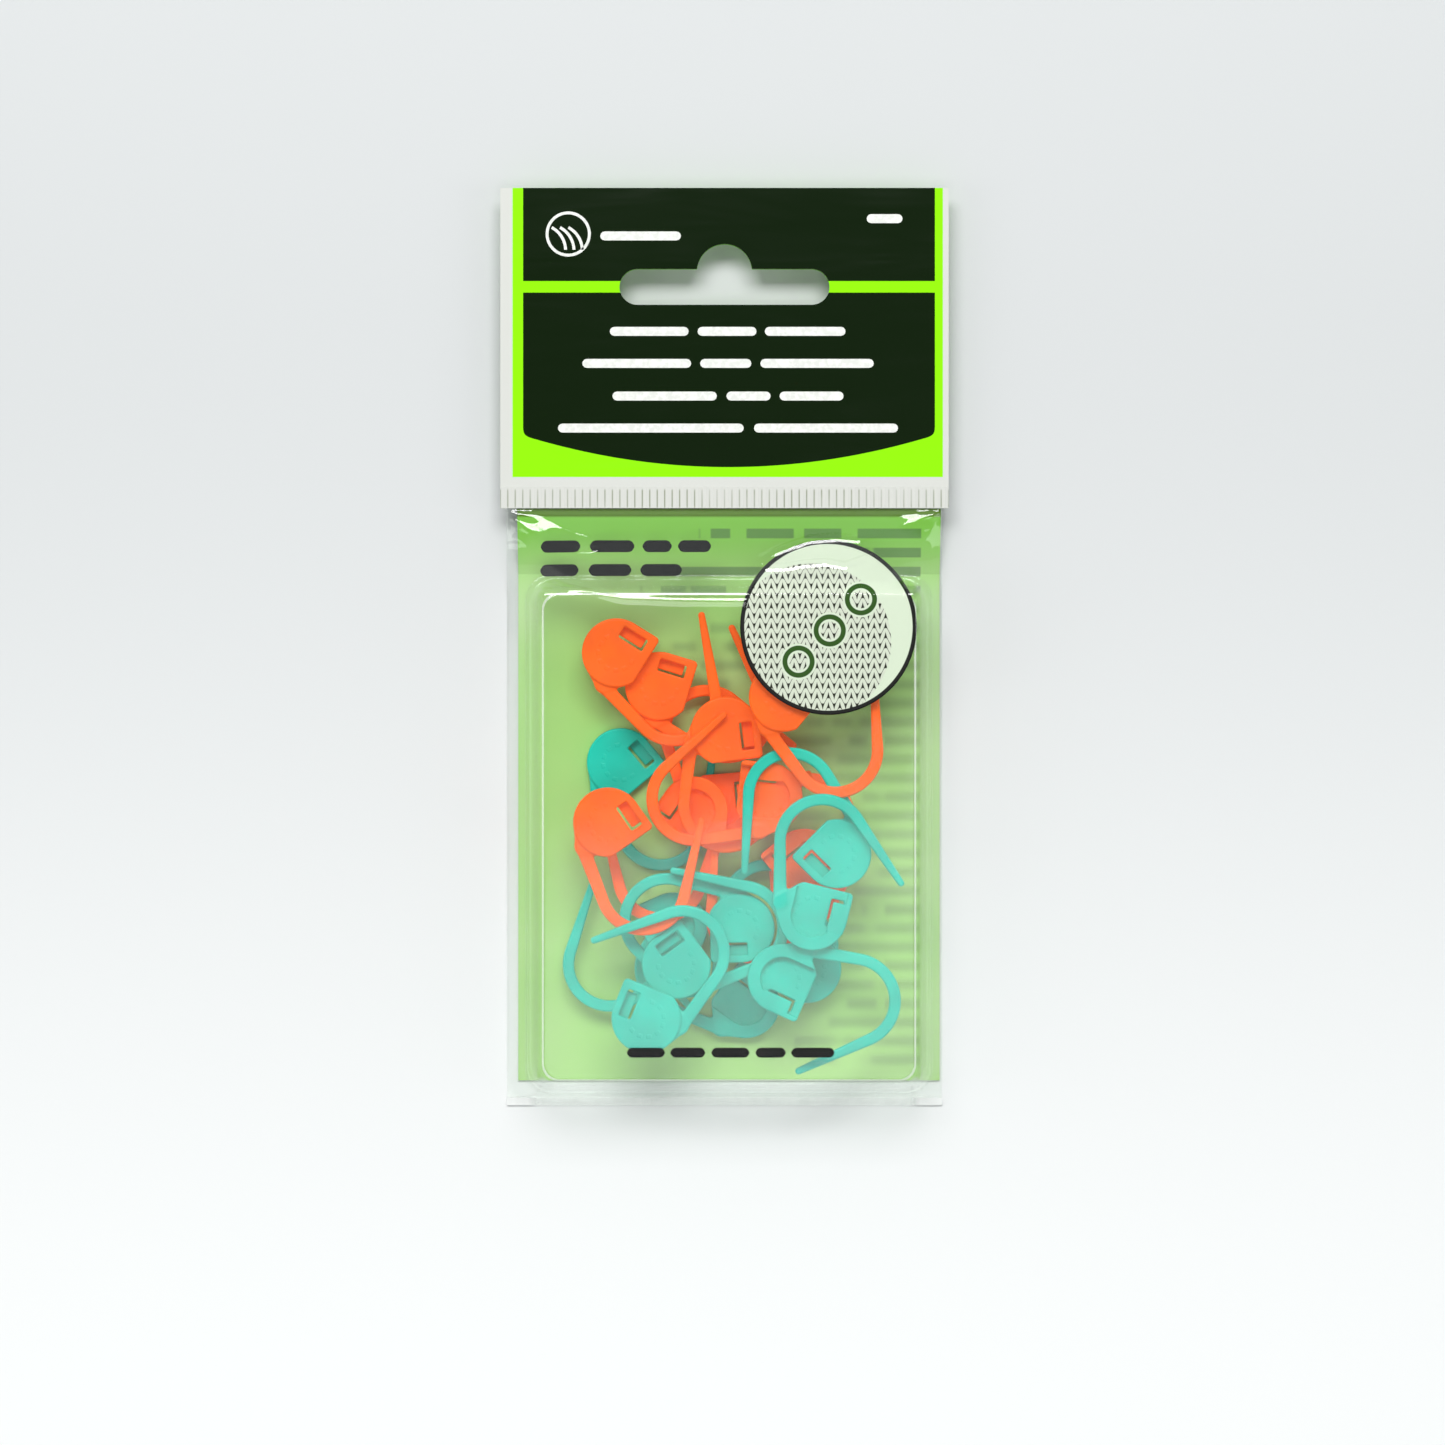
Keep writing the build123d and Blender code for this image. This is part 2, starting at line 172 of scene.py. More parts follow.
def softbox(name, spot, aim, width, height, radiance):
    """A rectangular area light whose face has an even brightness."""
    data = bpy.data.lights.new(name, "AREA")
    data.shape = "RECTANGLE"
    data.size, data.size_y = width, height
    data.energy = radiance * pi * width * height
    lamp = bpy.data.objects.new(name, data)
    lamp.location = spot
    lamp.rotation_mode = "QUATERNION"
    lamp.rotation_quaternion = (Vector(aim) - Vector(spot)).to_track_quat("-Z", "Y")
    bpy.context.scene.collection.objects.link(lamp)
    return lamp


softbox("window_softbox", (-0.05, 0.52, 0.80), (0, 0, 0), 0.80, 0.34, 10.5)
softbox("overhead_card", (0.05, -0.252, 1.0), (0.0, -0.052, 0), 0.62, 0.42, 2.3)
softbox("side_fill", (-0.8, -0.1, 0.55), (0, 0, 0), 0.3, 0.5, 1.6)
softbox("side_fill_far", (0.8, -0.1, 0.55), (0, 0, 0), 0.3, 0.5, 1.6)

world = bpy.data.worlds.new("studio")
world.use_nodes = True
around = world.node_tree
coords = around.nodes.new("ShaderNodeTexCoord")
split = node(around, "ShaderNodeSeparateXYZ", Vector=coords.outputs["Generated"])
sky = around.nodes["Background"]
sky.inputs["Color"].default_value = SKY_TINT
around.links.new(ramp(around, split.outputs[2], 0.55, 0.86, WORLD_SIDE, WORLD_TOP),
                 sky.inputs["Strength"])
bpy.context.scene.world = world
bpy.context.scene.view_settings.view_transform = "Standard"
bpy.context.scene.cycles.transparent_max_bounces = CLEAR_SURFACES

camera = bpy.data.objects.new("camera", bpy.data.cameras.new("camera"))
camera.location = (*CAMERA_SPOT, CAMERA_HEIGHT)
camera.data.sensor_width = SENSOR_WIDTH
camera.data.lens = SENSOR_WIDTH * CAMERA_HEIGHT / FRAME_WIDTH
camera.data.clip_start, camera.data.clip_end = 0.01, 10
bpy.context.scene.collection.objects.link(camera)
bpy.context.scene.camera = camera

# ---------------------------------------------------------------------------------------------
# The header: two printed card panels with the film bag's mouth between them, lime with a dark
# field and a stripe through the hang slot. A row of pressed ribs seals them along the foot, with
# painted shade in the valleys between the ribs.
# ---------------------------------------------------------------------------------------------
LIME_LEFT, LIME_RIGHT, LIME_FOOT = -33.1, 34.1, 26.65
PANEL_LEFT, PANEL_RIGHT, PANEL_FOOT = -31.45, 32.86, 28.2
PANEL_MIDDLE, PANEL_BOW = 0.6, 0.0048
STRIPE_LOW, STRIPE_HIGH = 55.46, 57.25
SEAL_LOW, SEAL_HIGH, SEAL_SOFT = 21.9, 24.7, 0.25
HALF_WIDTH, RIB_COUNT, PANEL_ROUND = 35.0, 60, 1.6
RIB_PITCH = 2 * HALF_WIDTH / RIB_COUNT
CARD_WHITE = (0.63, 0.64, 0.60, 1)
LIME_INK = (0.27, 0.84, 0.002, 1)
PANEL_INK = (0.0022, 0.0105, 0.0004, 1)
RIB_PAINTED_SHADE = (0.30, 0.33, 0.25, 1)
PRINT_EDGE = 0.05


def between(tree, value, low, high, edge=PRINT_EDGE):
    """1 where low < value < high, with soft edges."""
    return calc(tree, "MULTIPLY", ramp(tree, value, low - edge, low + edge),
                ramp(tree, value, high + edge, high - edge))


def card_material(name, panel):
    """Laminated card print, with the dark field or without it."""
    material, tree = new_material(name)
    where, x, y = flat_place(tree)
    lime = calc(tree, "MULTIPLY", between(tree, x, LIME_LEFT, LIME_RIGHT),
                ramp(tree, y, LIME_FOOT - PRINT_EDGE, LIME_FOOT + PRINT_EDGE))
    rib = calc(tree, "FRACT", calc(tree, "DIVIDE", calc(tree, "ADD", x, HALF_WIDTH), RIB_PITCH))
    # Painted shade in the valleys between the seal's ribs, patchy along the row.
    valley_shade = ramp(tree, calc(tree, "ABSOLUTE", calc(tree, "SUBTRACT", rib, 0.5)), 0.36, 0.47)
    valley_shade = calc(tree, "MULTIPLY", valley_shade, between(tree, y, SEAL_LOW, SEAL_HIGH, SEAL_SOFT))
    patches = node(tree, "ShaderNodeTexNoise", Vector=where, Scale=110.0, Detail=2.0)
    valley_shade = calc(tree, "MULTIPLY", valley_shade, ramp(tree, patches.outputs[0], 0.3, 0.6, 0.35, 1.0))
    colour = mixed(tree, valley_shade, CARD_WHITE, RIB_PAINTED_SHADE)
    colour = mixed(tree, lime, colour, LIME_INK)
    if panel:
        aside = calc(tree, "SUBTRACT", x, PANEL_MIDDLE)
        arc = calc(tree, "MULTIPLY_ADD", calc(tree, "MULTIPLY", aside, aside), PANEL_BOW,
                   PANEL_FOOT)
        side = calc(tree, "MINIMUM", calc(tree, "SUBTRACT", x, PANEL_LEFT),
                    calc(tree, "SUBTRACT", PANEL_RIGHT, x))
        inside = calc(tree, "SMOOTH_MIN", side, calc(tree, "SUBTRACT", y, arc), PANEL_ROUND)
        dark = calc(tree, "SUBTRACT", ramp(tree, inside, -PRINT_EDGE, PRINT_EDGE),
                    between(tree, y, STRIPE_LOW, STRIPE_HIGH))
        colour = mixed(tree, calc(tree, "MAXIMUM", dark, 0.0), colour, PANEL_INK)
    turned = node(tree, "ShaderNodeMapping", Vector=where, Rotation=(0, 0, radians(-38)),
                  Scale=(30.0, 150.0, 30.0))
    creases = node(tree, "ShaderNodeTexNoise", Vector=turned.outputs[0], Scale=1.0, Detail=2.0,
                   Distortion=0.8)
    waves = node(tree, "ShaderNodeTexNoise", Vector=where, Scale=60.0, Detail=1.0)
    height = calc(tree, "MULTIPLY_ADD", creases.outputs[0], 0.25, waves.outputs[0])
    bump = node(tree, "ShaderNodeBump", Strength=0.35, Distance=0.9 * MM, Height=height)
    surface_of(tree, node(tree, "ShaderNodeBsdfPrincipled", Base_Color=colour, Roughness=0.2,
                          Specular_IOR_Level=0.28, Normal=bump.outputs[0]))
    return material


for side_name, has_panel in (("header_front", True), ("header_back", False)):
    card = frame["nodes"][side_name]
    card.data.materials.clear()
    card.data.materials.append(card_material(side_name + "_print", has_panel))

# White words and a plain yarn ball stand where the front card has its print. Each word is a
# bare rounded bar of ink on the laminate.
WORD_HEIGHT = 1.4
INK_RISE = 0.025 * MM
CARD_STEP = 0.62 * MM
CARD_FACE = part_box("header_back")[1].z + CARD_STEP
BALL_SPOT, BALL_RADIUS, BALL_STROKE = (-24.4, 64.6), 3.3, 0.45
YARN_SPOT, YARN_RADIUS, YARN_SHIFTS = (-3.4, -2.6), 4.1, (-1.1, 0.2, 1.5)
HEADER_WORDS = [
    (49.4, ((-17.9, -5.6), (-4.2, 5.0), (6.3, 18.9))),
    (44.4, ((-22.2, -5.2), (-3.8, 4.2), (5.6, 23.3))),
    (39.3, ((-17.5, -1.2), (0.3, 7.2), (8.6, 18.6))),
    (34.3, ((-26.0, 3.0), (4.6, 27.1))),
    (64.3, ((-19.4, -6.8),)),
    (67.0, ((22.2, 27.8),)),
]


def bar_outline(left, right, middle, height, round_steps=6):
    """Outline of a bar with round ends."""
    reach = height / 2
    points = []
    for centre, start in ((right - reach, -pi / 2), (left + reach, pi / 2)):
        for step in range(round_steps + 1):
            angle = start + pi * step / round_steps
            points.append((centre + reach * cos(angle), middle + reach * sin(angle)))
    return points


def ink_plates(name, outlines, height_at):
    """Thin closed plates of ink, one for each outline in millimetres, lying on a surface."""
    verts, faces = [], []
    for outline in outlines:
        first, count = len(verts), len(outline)
        for lift in (-INK_RISE, INK_RISE):
            verts += [(x * MM, y * MM, height_at(x, y) + lift) for x, y in outline]
        faces.append([first + k for k in reversed(range(count))])
        faces.append([first + count + k for k in range(count)])
        for k in range(count):
            j = (k + 1) % count
            faces.append([first + k, first + j, first + count + j, first + count + k])
    piece = new_object(name, verts, faces)
    piece.data.shade_flat()
    return piece


def arc_band(centre, radius, start, stop, stroke, steps=20):
    """Outline of a drawn arc, from start to stop in degrees."""
    angles = [radians(start + (stop - start) * k / steps) for k in range(steps + 1)]
    outline = []
    for reach, turns in ((radius + stroke / 2, angles), (radius - stroke / 2, angles[::-1])):
        outline += [(centre[0] + reach * cos(a), centre[1] + reach * sin(a)) for a in turns]
    return outline


def ink_material(name, colour, roughness=0.35, shine=0.3):
    """Printing ink with a little mottle."""
    material, tree = new_material(name)
    where = place_of(tree)[0]
    mottle = node(tree, "ShaderNodeTexNoise", Vector=where, Scale=1400.0, Detail=2.0)
    pale = tuple(c * 0.85 + 0.001 for c in colour[:3]) + (1,)
    tone = mixed(tree, ramp(tree, mottle.outputs[0], 0.35, 0.65), colour, pale)
    surface_of(tree, node(tree, "ShaderNodeBsdfPrincipled", Base_Color=tone, Roughness=roughness,
                          Specular_IOR_Level=shine))
    return material


outlines = [bar_outline(left, right, y, WORD_HEIGHT) for y, words in HEADER_WORDS
            for left, right in words]
for start in range(0, 360, 60):
    outlines.append(arc_band(BALL_SPOT, BALL_RADIUS, start, start + 60, BALL_STROKE))
for shift in YARN_SHIFTS:
    middle = (BALL_SPOT[0] + YARN_SPOT[0] + shift, BALL_SPOT[1] + YARN_SPOT[1])
    outlines.append(arc_band(middle, YARN_RADIUS, 2, 62, BALL_STROKE))
header_words = ink_plates("header_words", outlines, lambda x, y: CARD_FACE)
header_words.data.materials.append(ink_material("white_ink", (0.82, 0.84, 0.79, 1)))
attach(header_words, "pack")

# ---------------------------------------------------------------------------------------------
# The backing sheet: a translucent green printed sheet that lies on the rear film. Its rows of
# print read from behind, and look soft through the tray, so they are soft under its face. A
# dark olive band along its top edge is painted shadow under the seal.
# ---------------------------------------------------------------------------------------------
ROW_TOP, ROW_PITCH, ROW_RIGHT, ROW_HALF = 19.4, 2.95, 30.8, 0.25
ROW_SHORTEST, ROW_SPREAD, WORD_GAPS, LAST_WORD = 9.0, 44.0, 0.42, 25.0
PRINT_FOOT, PRINT_HEAD, PRINT_SHARP, PRINT_BLUR = -66.5, 19.2, 0.035, 0.2
PRINT_BARE, PRINT_VEIL = 0.56, 0.28
FACE_HEAD, FACE_SOFT = 8.8, 0.6
SHEET_DEPTH, SHEET_BEND, SHEET_END, SHEET_SLOPE = 0.25, 11.6, 21.75, 0.3765
SHEET_TAPER, TAPER_SHARE = 0.9, 0.3

sheet_print, tree = new_material("backing_sheet_print")
where, x, y = flat_place(tree)
soft = ramp(tree, y, FACE_HEAD + FACE_SOFT, FACE_HEAD - FACE_SOFT)
spread = calc(tree, "MULTIPLY_ADD", soft, PRINT_BLUR, PRINT_SHARP)
level = calc(tree, "DIVIDE", calc(tree, "SUBTRACT", ROW_TOP, y), ROW_PITCH)
row = calc(tree, "FLOOR", level)
off_row = calc(tree, "ABSOLUTE", calc(tree, "SUBTRACT", calc(tree, "FRACT", level), 0.5))
in_row = ramp(tree, off_row, calc(tree, "ADD", ROW_HALF, spread),
              calc(tree, "SUBTRACT", ROW_HALF, spread))
run = node(tree, "ShaderNodeCombineXYZ", i0=calc(tree, "MULTIPLY", x, 0.23),
           i1=calc(tree, "MULTIPLY", row, 5.7))
words = node(tree, "ShaderNodeTexNoise", {"noise_dimensions": "2D"}, Vector=run.outputs[0],
             Scale=1.0, Detail=0.0)
half_spread = calc(tree, "MULTIPLY", spread, 0.5)
in_word = ramp(tree, words.outputs[0], calc(tree, "SUBTRACT", WORD_GAPS, half_spread),
               calc(tree, "ADD", WORD_GAPS, half_spread))
length = node(tree, "ShaderNodeTexWhiteNoise", {"noise_dimensions": "1D"}, W=row)
row_end = calc(tree, "SUBTRACT", ROW_RIGHT,
               calc(tree, "MULTIPLY_ADD", length.outputs[0], ROW_SPREAD, ROW_SHORTEST))
in_word = calc(tree, "MAXIMUM", in_word, ramp(tree, x, LAST_WORD, LAST_WORD + 0.4))
in_run = calc(tree, "MULTIPLY", ramp(tree, x, ROW_RIGHT + 0.1, ROW_RIGHT - 0.1),
              ramp(tree, calc(tree, "SUBTRACT", x, row_end), -0.5, 0.5))
printed = calc(tree, "MULTIPLY", calc(tree, "MULTIPLY", in_row, in_word), in_run)
printed = calc(tree, "MULTIPLY", printed, between(tree, y, PRINT_FOOT, PRINT_HEAD, 0.2))
strength = calc(tree, "MULTIPLY_ADD", soft, -PRINT_VEIL, PRINT_BARE)
cloud = node(tree, "ShaderNodeTexNoise", Vector=where, Scale=35.0, Detail=2.0)
green = mixed(tree, ramp(tree, cloud.outputs[0], 0.3, 0.7), (0.375, 0.70, 0.19, 1),
              (0.465, 0.75, 0.27, 1))
green = mixed(tree, ramp(tree, y, 9.0, 19.0), green, (0.26, 0.66, 0.085, 1))
# Painted shadow: a dark olive band along the top edge, just under the seal.
green = mixed(tree, ramp(tree, y, 20.3, 20.7), green, (0.11, 0.24, 0.012, 1))
colour = mixed(tree, calc(tree, "MULTIPLY", printed, strength), green, (0.045, 0.09, 0.065, 1))
front = node(tree, "ShaderNodeBsdfPrincipled", Base_Color=colour, Roughness=0.35,
             Specular_IOR_Level=0.3)
through = node(tree, "ShaderNodeBsdfTranslucent", Color=colour)
surface_of(tree, node(tree, "ShaderNodeMixShader", i0=0.1, i1=front.outputs[0],
                      i2=through.outputs[0]))
sheet_low, sheet_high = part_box("backing_sheet")
sheet_y = [sheet_low.y / MM, SHEET_BEND, SHEET_END - SHEET_TAPER, SHEET_END]
verts = []
for depth in (0.0, SHEET_DEPTH):
    for y_mm in sheet_y:
        base = sheet_low.z / MM + max(y_mm - SHEET_BEND, 0) * SHEET_SLOPE
        lift = base + (depth * TAPER_SHARE if y_mm == SHEET_END else depth)
        verts += [(sheet_low.x, y_mm * MM, lift * MM), (sheet_high.x, y_mm * MM, lift * MM)]
under, over = range(0, 8, 2), range(8, 16, 2)
faces = [(k, k + 2, k + 3, k + 1) for k in under[:-1]]
faces += [(k, k + 1, k + 3, k + 2) for k in over[:-1]]
faces += [(k, k + 8, k + 10, k + 2) for k in under[:-1]]
faces += [(k + 1, k + 3, k + 11, k + 9) for k in under[:-1]]
faces += [(0, 1, 9, 8), (6, 14, 15, 7)]
sheet = new_object("printed_sheet", verts, faces)
sheet.data.shade_flat()
sheet.data.materials.append(sheet_print)
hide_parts("backing_sheet")
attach(sheet, "pack")

# ---------------------------------------------------------------------------------------------
# The rear film and the weld: clear film lies flat under everything, and a heat-sealed strip
# joins it to the front film along the bag's foot.
# ---------------------------------------------------------------------------------------------
SLANT_MIRROR, CLING_MIRROR = 0.42, 0.004
BADGE_SPOT, BADGE_ROUND = (16.0, 3.1), 13.6
CLING_FOOT, CLING_HEAD, LOOSE_FOOT, LOOSE_HEAD = -1 * MM, 5 * MM, 9.5 * MM, 10.5 * MM
TAB_START, TAB_FULL, TAB_MILK = 29 * MM, 31 * MM, 0.65
# Painted highlight: a whitish band on the rounded edge of the tray's face, between these heights
# and normal tilts.
ROUNDING_FOOT, ROUNDING_HEAD, ROUNDING_HIGHLIGHT = 10 * MM, 11 * MM, 0.4
ROUNDING_STEEP, ROUNDING_FLAT = 0.90, 0.965


def far_from(tree, x, y, spot_x=0.0, spot_y=0.0):
    """Distance from a spot over X and Y."""
    off_x, off_y = calc(tree, "SUBTRACT", x, spot_x), calc(tree, "SUBTRACT", y, spot_y)
    return calc(tree, "SQRT", calc(tree, "MULTIPLY_ADD", off_x, off_x,
                                   calc(tree, "MULTIPLY", off_y, off_y)))


def clear_material(name, roughness, haze, mirror, clings=False, edge_highlight=False, tabs=False):
    """Clear plastic with a haze and a mirror share that is larger at a slant.

    Where it clings to the tray's face or lies under the badge it mirrors less. A painted
    highlight whitens a band on the rounded edge of a tray's face, and the tabs at both ends of a
    weld are whitish.
    """
    material, tree = new_material(name)
    where, x, y, z = place_of(tree)
    ripple = node(tree, "ShaderNodeTexNoise", Vector=where, Scale=45.0, Detail=1.0)
    fine = node(tree, "ShaderNodeBump", Strength=0.12, Distance=0.4 * MM, Height=ripple.outputs[0])
    dust = node(tree, "ShaderNodeTexNoise", Vector=where, Scale=240.0, Detail=3.0)
    haze_and_highlight = calc(tree, "MULTIPLY", ramp(tree, dust.outputs[0], 0.35, 0.75, 0.6, 1.2), haze)
    if tabs:
        aside = calc(tree, "ABSOLUTE", x)
        haze_and_highlight = calc(tree, "MULTIPLY_ADD", ramp(tree, aside, TAB_START, TAB_FULL), TAB_MILK,
                     haze_and_highlight)
    # Painted highlight: a whitish band round the rounded edge of the tray's face.
    if edge_highlight:
        facing = node(tree, "ShaderNodeSeparateXYZ",
                      Vector=node(tree, "ShaderNodeNewGeometry").outputs["Normal"])
        level = calc(tree, "ABSOLUTE", facing.outputs[2])
        rounding_highlight = calc(tree, "MULTIPLY",
                        between(tree, level, ROUNDING_STEEP, ROUNDING_FLAT, 0.01),
                        ramp(tree, z, ROUNDING_FOOT, ROUNDING_HEAD))
        haze_and_highlight = calc(tree, "MULTIPLY_ADD", rounding_highlight, ROUNDING_HIGHLIGHT, haze_and_highlight)
    if clings:
        away = far_from(tree, x, y, BADGE_SPOT[0] * MM, BADGE_SPOT[1] * MM)
        beside_badge = ramp(tree, away, (BADGE_ROUND - 0.5) * MM, (BADGE_ROUND - 0.1) * MM)
        loose = calc(tree, "MULTIPLY", beside_badge, ramp(tree, y, CLING_FOOT, CLING_HEAD))
        loose = calc(tree, "MAXIMUM", loose, ramp(tree, y, LOOSE_FOOT, LOOSE_HEAD))
        mirror = calc(tree, "MULTIPLY_ADD", loose, mirror - CLING_MIRROR, CLING_MIRROR)
    passed = node(tree, "ShaderNodeBsdfTransparent", Color=(0.995, 1.0, 0.995, 1))
    white = node(tree, "ShaderNodeBsdfDiffuse", Color=(0.9, 0.92, 0.9, 1))
    gloss = node(tree, "ShaderNodeBsdfGlossy", Color=(1, 1, 1, 1), Roughness=roughness,
                 Normal=fine.outputs[0])
    body = node(tree, "ShaderNodeMixShader", i0=haze_and_highlight, i1=passed.outputs[0], i2=white.outputs[0])
    slant = node(tree, "ShaderNodeLayerWeight", Blend=0.5, Normal=fine.outputs[0])
    share = calc(tree, "MULTIPLY_ADD", calc(tree, "POWER", slant.outputs["Facing"], 5.0),
                 SLANT_MIRROR, mirror)
    surface_of(tree, node(tree, "ShaderNodeMixShader", i0=share, i1=body.outputs[0],
                          i2=gloss.outputs[0]))
    return material


film_clear = clear_material("bag_film", 0.05, 0.002, 0.04, clings=True)
weld_clear = clear_material("weld_film", 0.2, 0.15, 0.04, tabs=True)
for film_name, finish in (("back_film", film_clear), ("bottom_weld", weld_clear)):
    film = frame["nodes"][film_name]
    film.data.materials.clear()
    film.data.materials.append(finish)

# ---------------------------------------------------------------------------------------------
# The blister tray: one vacuum-formed shell with a flange, drafted walls, rounded edges and a
# flat face. It is clear with a faint haze, and stands over the pile of markers.
# ---------------------------------------------------------------------------------------------
tray_low, tray_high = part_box("tray")
TRAY_MIDDLE = ((tray_low.x + tray_high.x) / 2, (tray_low.y + tray_high.y) / 2)
TRAY_HALF = ((tray_high.x - tray_low.x) / 2, (tray_high.y - tray_low.y) / 2)
FLANGE_ROUND, TRAY_SKIN, RING_POINTS = 4.0 * MM, 0.33 * MM, 40
FLANGE_THICK, FLANGE_BEVEL = 0.4 * MM, 0.12 * MM
FLANGE_FACE = tray_low.z + FLANGE_THICK
TRAY_FACE = tray_high.z
FOOT_ROUND, EDGE_ROUND, FOOT_STEPS, EDGE_STEPS = 0.7 * MM, 1.3 * MM, 12, 24
WALL_FOOT, WALL_HEAD, EDGE_OUT = 1.2 * MM, 2.9 * MM, 0.35 * MM
CORNER_SHARE, CORNER_LEAST, FACE_RINGS = 0.35, 0.4 * MM, 14


def tray_profile():
    """Insets from the flange's edge with their heights, over the wall to the face."""
    points = [(0.0, tray_low.z + 0.02 * MM), (0.0, FLANGE_FACE - FLANGE_BEVEL),
              (FLANGE_BEVEL, FLANGE_FACE)]
    for step in range(FOOT_STEPS + 1):
        angle = pi / 2 * step / FOOT_STEPS
        points.append((WALL_FOOT - FOOT_ROUND * (1 - sin(angle)),
                       FLANGE_FACE + FOOT_ROUND * (1 - cos(angle))))
    for step in range(EDGE_STEPS + 1):
        angle = pi / 2 * step / EDGE_STEPS
        points.append((WALL_HEAD - EDGE_OUT + EDGE_ROUND * (1 - cos(angle)),
                       TRAY_FACE - EDGE_ROUND * (1 - sin(angle))))
    return points


def ring_at(inset, height):
    """Points of a rounded rectangle round the tray at an inset from the flange's edge."""
    wide, tall = TRAY_HALF[0] - inset, TRAY_HALF[1] - inset
    corner = max(FLANGE_ROUND - inset * CORNER_SHARE, CORNER_LEAST)
    corner = min(corner, wide * 0.98)
    points = []
    for quarter in range(4):
        side_x = (1, -1, -1, 1)[quarter]
        side_y = (1, 1, -1, -1)[quarter]
        for step in range(RING_POINTS):
            angle = pi / 2 * (quarter + step / (RING_POINTS - 1))
            points.append((TRAY_MIDDLE[0] + side_x * (wide - corner) + corner * cos(angle),
                           TRAY_MIDDLE[1] + side_y * (tall - corner) + corner * sin(angle),
                           height))
    return points


profile = tray_profile()
face_start = profile[-1][0]
insets = [face_start + (TRAY_HALF[0] - 1.0 * MM - face_start) * k / FACE_RINGS
          for k in range(1, FACE_RINGS + 1)]
profile += [(inset, TRAY_FACE) for inset in insets]
verts, faces = [], []
for inset, height in profile:
    verts += ring_at(inset, height)
count = 4 * RING_POINTS
for ring in range(len(profile) - 1):
    for k in range(count):
        j = (k + 1) % count
        a, b = ring * count, (ring + 1) * count
        faces.append((a + k, a + j, b + j, b + k))
faces.append([len(verts) - count + k for k in range(count)])
tray = new_object("blister_tray", verts, faces)
wall = tray.modifiers.new("wall", "SOLIDIFY")
wall.thickness, wall.offset = TRAY_SKIN, -1.0
# The tray's face edge carries the painted highlight.
tray.data.materials.append(clear_material("blister_plastic", 0.1, 0.003, 0.028, edge_highlight=True))
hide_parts("tray")
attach(tray, "pack")

# ---------------------------------------------------------------------------------------------
# The markers: twenty one-piece mouldings in two colours. A round head carries a pocket and a
# windowed catch roof, and a neck bends over in a U into the pin arm, which flexes there.
# ---------------------------------------------------------------------------------------------
HEAD_ROUND, HEAD_THICK, PLATE_FOOT, RIM_WIDTH, TOP_EDGE = 5.35, 1.7, 1.0, 2.0, 4.7
CATCH_TILT, CATCH_WALL, ROOF_THICK = radians(14), 0.8, 0.35
WINDOW_LONG, WINDOW_WIDE, WINDOW_SHIFT = 4.3, 1.95, 1.1
ARM_THICK, NECK_SHIFT, NECK_WIDTH, ARM_WIDTH, TIP_WIDTH = 1.1, 5.05, 2.1, 1.8, 1.05
BEND_MIDDLE, BEND_ROUND, SPLAY, PIN_LENGTH = (-1.45, 11.4), 6.5, radians(34), 12.1
HEAD_CORNER, WINDOW_BAR, NECK_FILLET = 0.7, 1.15, 0.7
PLATE_EDGE, RIM_EDGE, ARM_EDGE = 0.27, 0.22, 0.36
RING_LOW, RING_HIGH, RING_LEFT, DASH_COUNT = 2.5, 3.05, -1.2, 12
HINGE_SPOT = (2.0902, 16.8514)
MARKER_CELL, PROBE, LONGEST_STEP, MOULD_SPAN = 0.16, 0.02, 0.08, 40.0
# How far each marker lies turned, in degrees.
MARKER_TURNS = {
    "orange_01": -46, "orange_02": -31, "orange_03": -97, "orange_04": -53, "orange_05": -69,
    "orange_06": -110, "orange_07": 188, "orange_08": -127, "orange_09": 109, "orange_10": 80,
    "teal_01": -64, "teal_02": 121, "teal_03": 90, "teal_04": -10, "teal_05": 167,
    "teal_06": 22, "teal_07": 54, "teal_08": 218, "teal_09": 115, "teal_10": 158,
}


def drawn_up(plan, z, low, high, edge):
    """Distance to a plan extruded from low to high with rounded edges."""
    across, along = plan + edge, np.abs(z - (low + high) / 2) - (high - low) / 2 + edge
    outside = np.hypot(np.maximum(across, 0), np.maximum(along, 0))
    return np.minimum(np.maximum(across, along), 0) + outside - edge


def block(v, u, low_v, high_v, low_u, high_u, corner=0.0):
    """Distance to a rectangle with rounded corners."""
    return drawn_up(np.abs(v - (low_v + high_v) / 2) - (high_v - low_v) / 2, u, low_u, high_u,
                    corner)


def tapered(x, y, start, end, first, second):
    """Distance to a bar with round ends of two radii."""
    run_x, run_y = end[0] - start[0], end[1] - start[1]
    length = np.hypot(run_x, run_y)
    along = ((x - start[0]) * run_x + (y - start[1]) * run_y) / length
    aside = np.abs((x - start[0]) * run_y - (y - start[1]) * run_x) / length
    slope = (first - second) / length
    level = np.sqrt(1 - slope * slope)
    side = level * along - slope * aside
    flank = level * aside + slope * along - first
    at_end = np.hypot(aside, along - length) - second
    return np.where(side < 0, np.hypot(aside, along) - first,
                    np.where(side > level * length, at_end, flank))


def melted(first, second, reach):
    """Union of two distances with a fillet."""
    share = np.clip(0.5 + 0.5 * (second - first) / reach, 0, 1)
    return second + (first - second) * share - reach * share * (1 - share)


def carved(first, second, reach):
    """First distance less the second, with a rounded edge."""
    return -melted(-first, second, reach)


def bend_place(angle):
    """Point on the middle line of the U bend."""
    return (BEND_MIDDLE[0] + BEND_ROUND * cos(angle), BEND_MIDDLE[1] + BEND_ROUND * sin(angle))


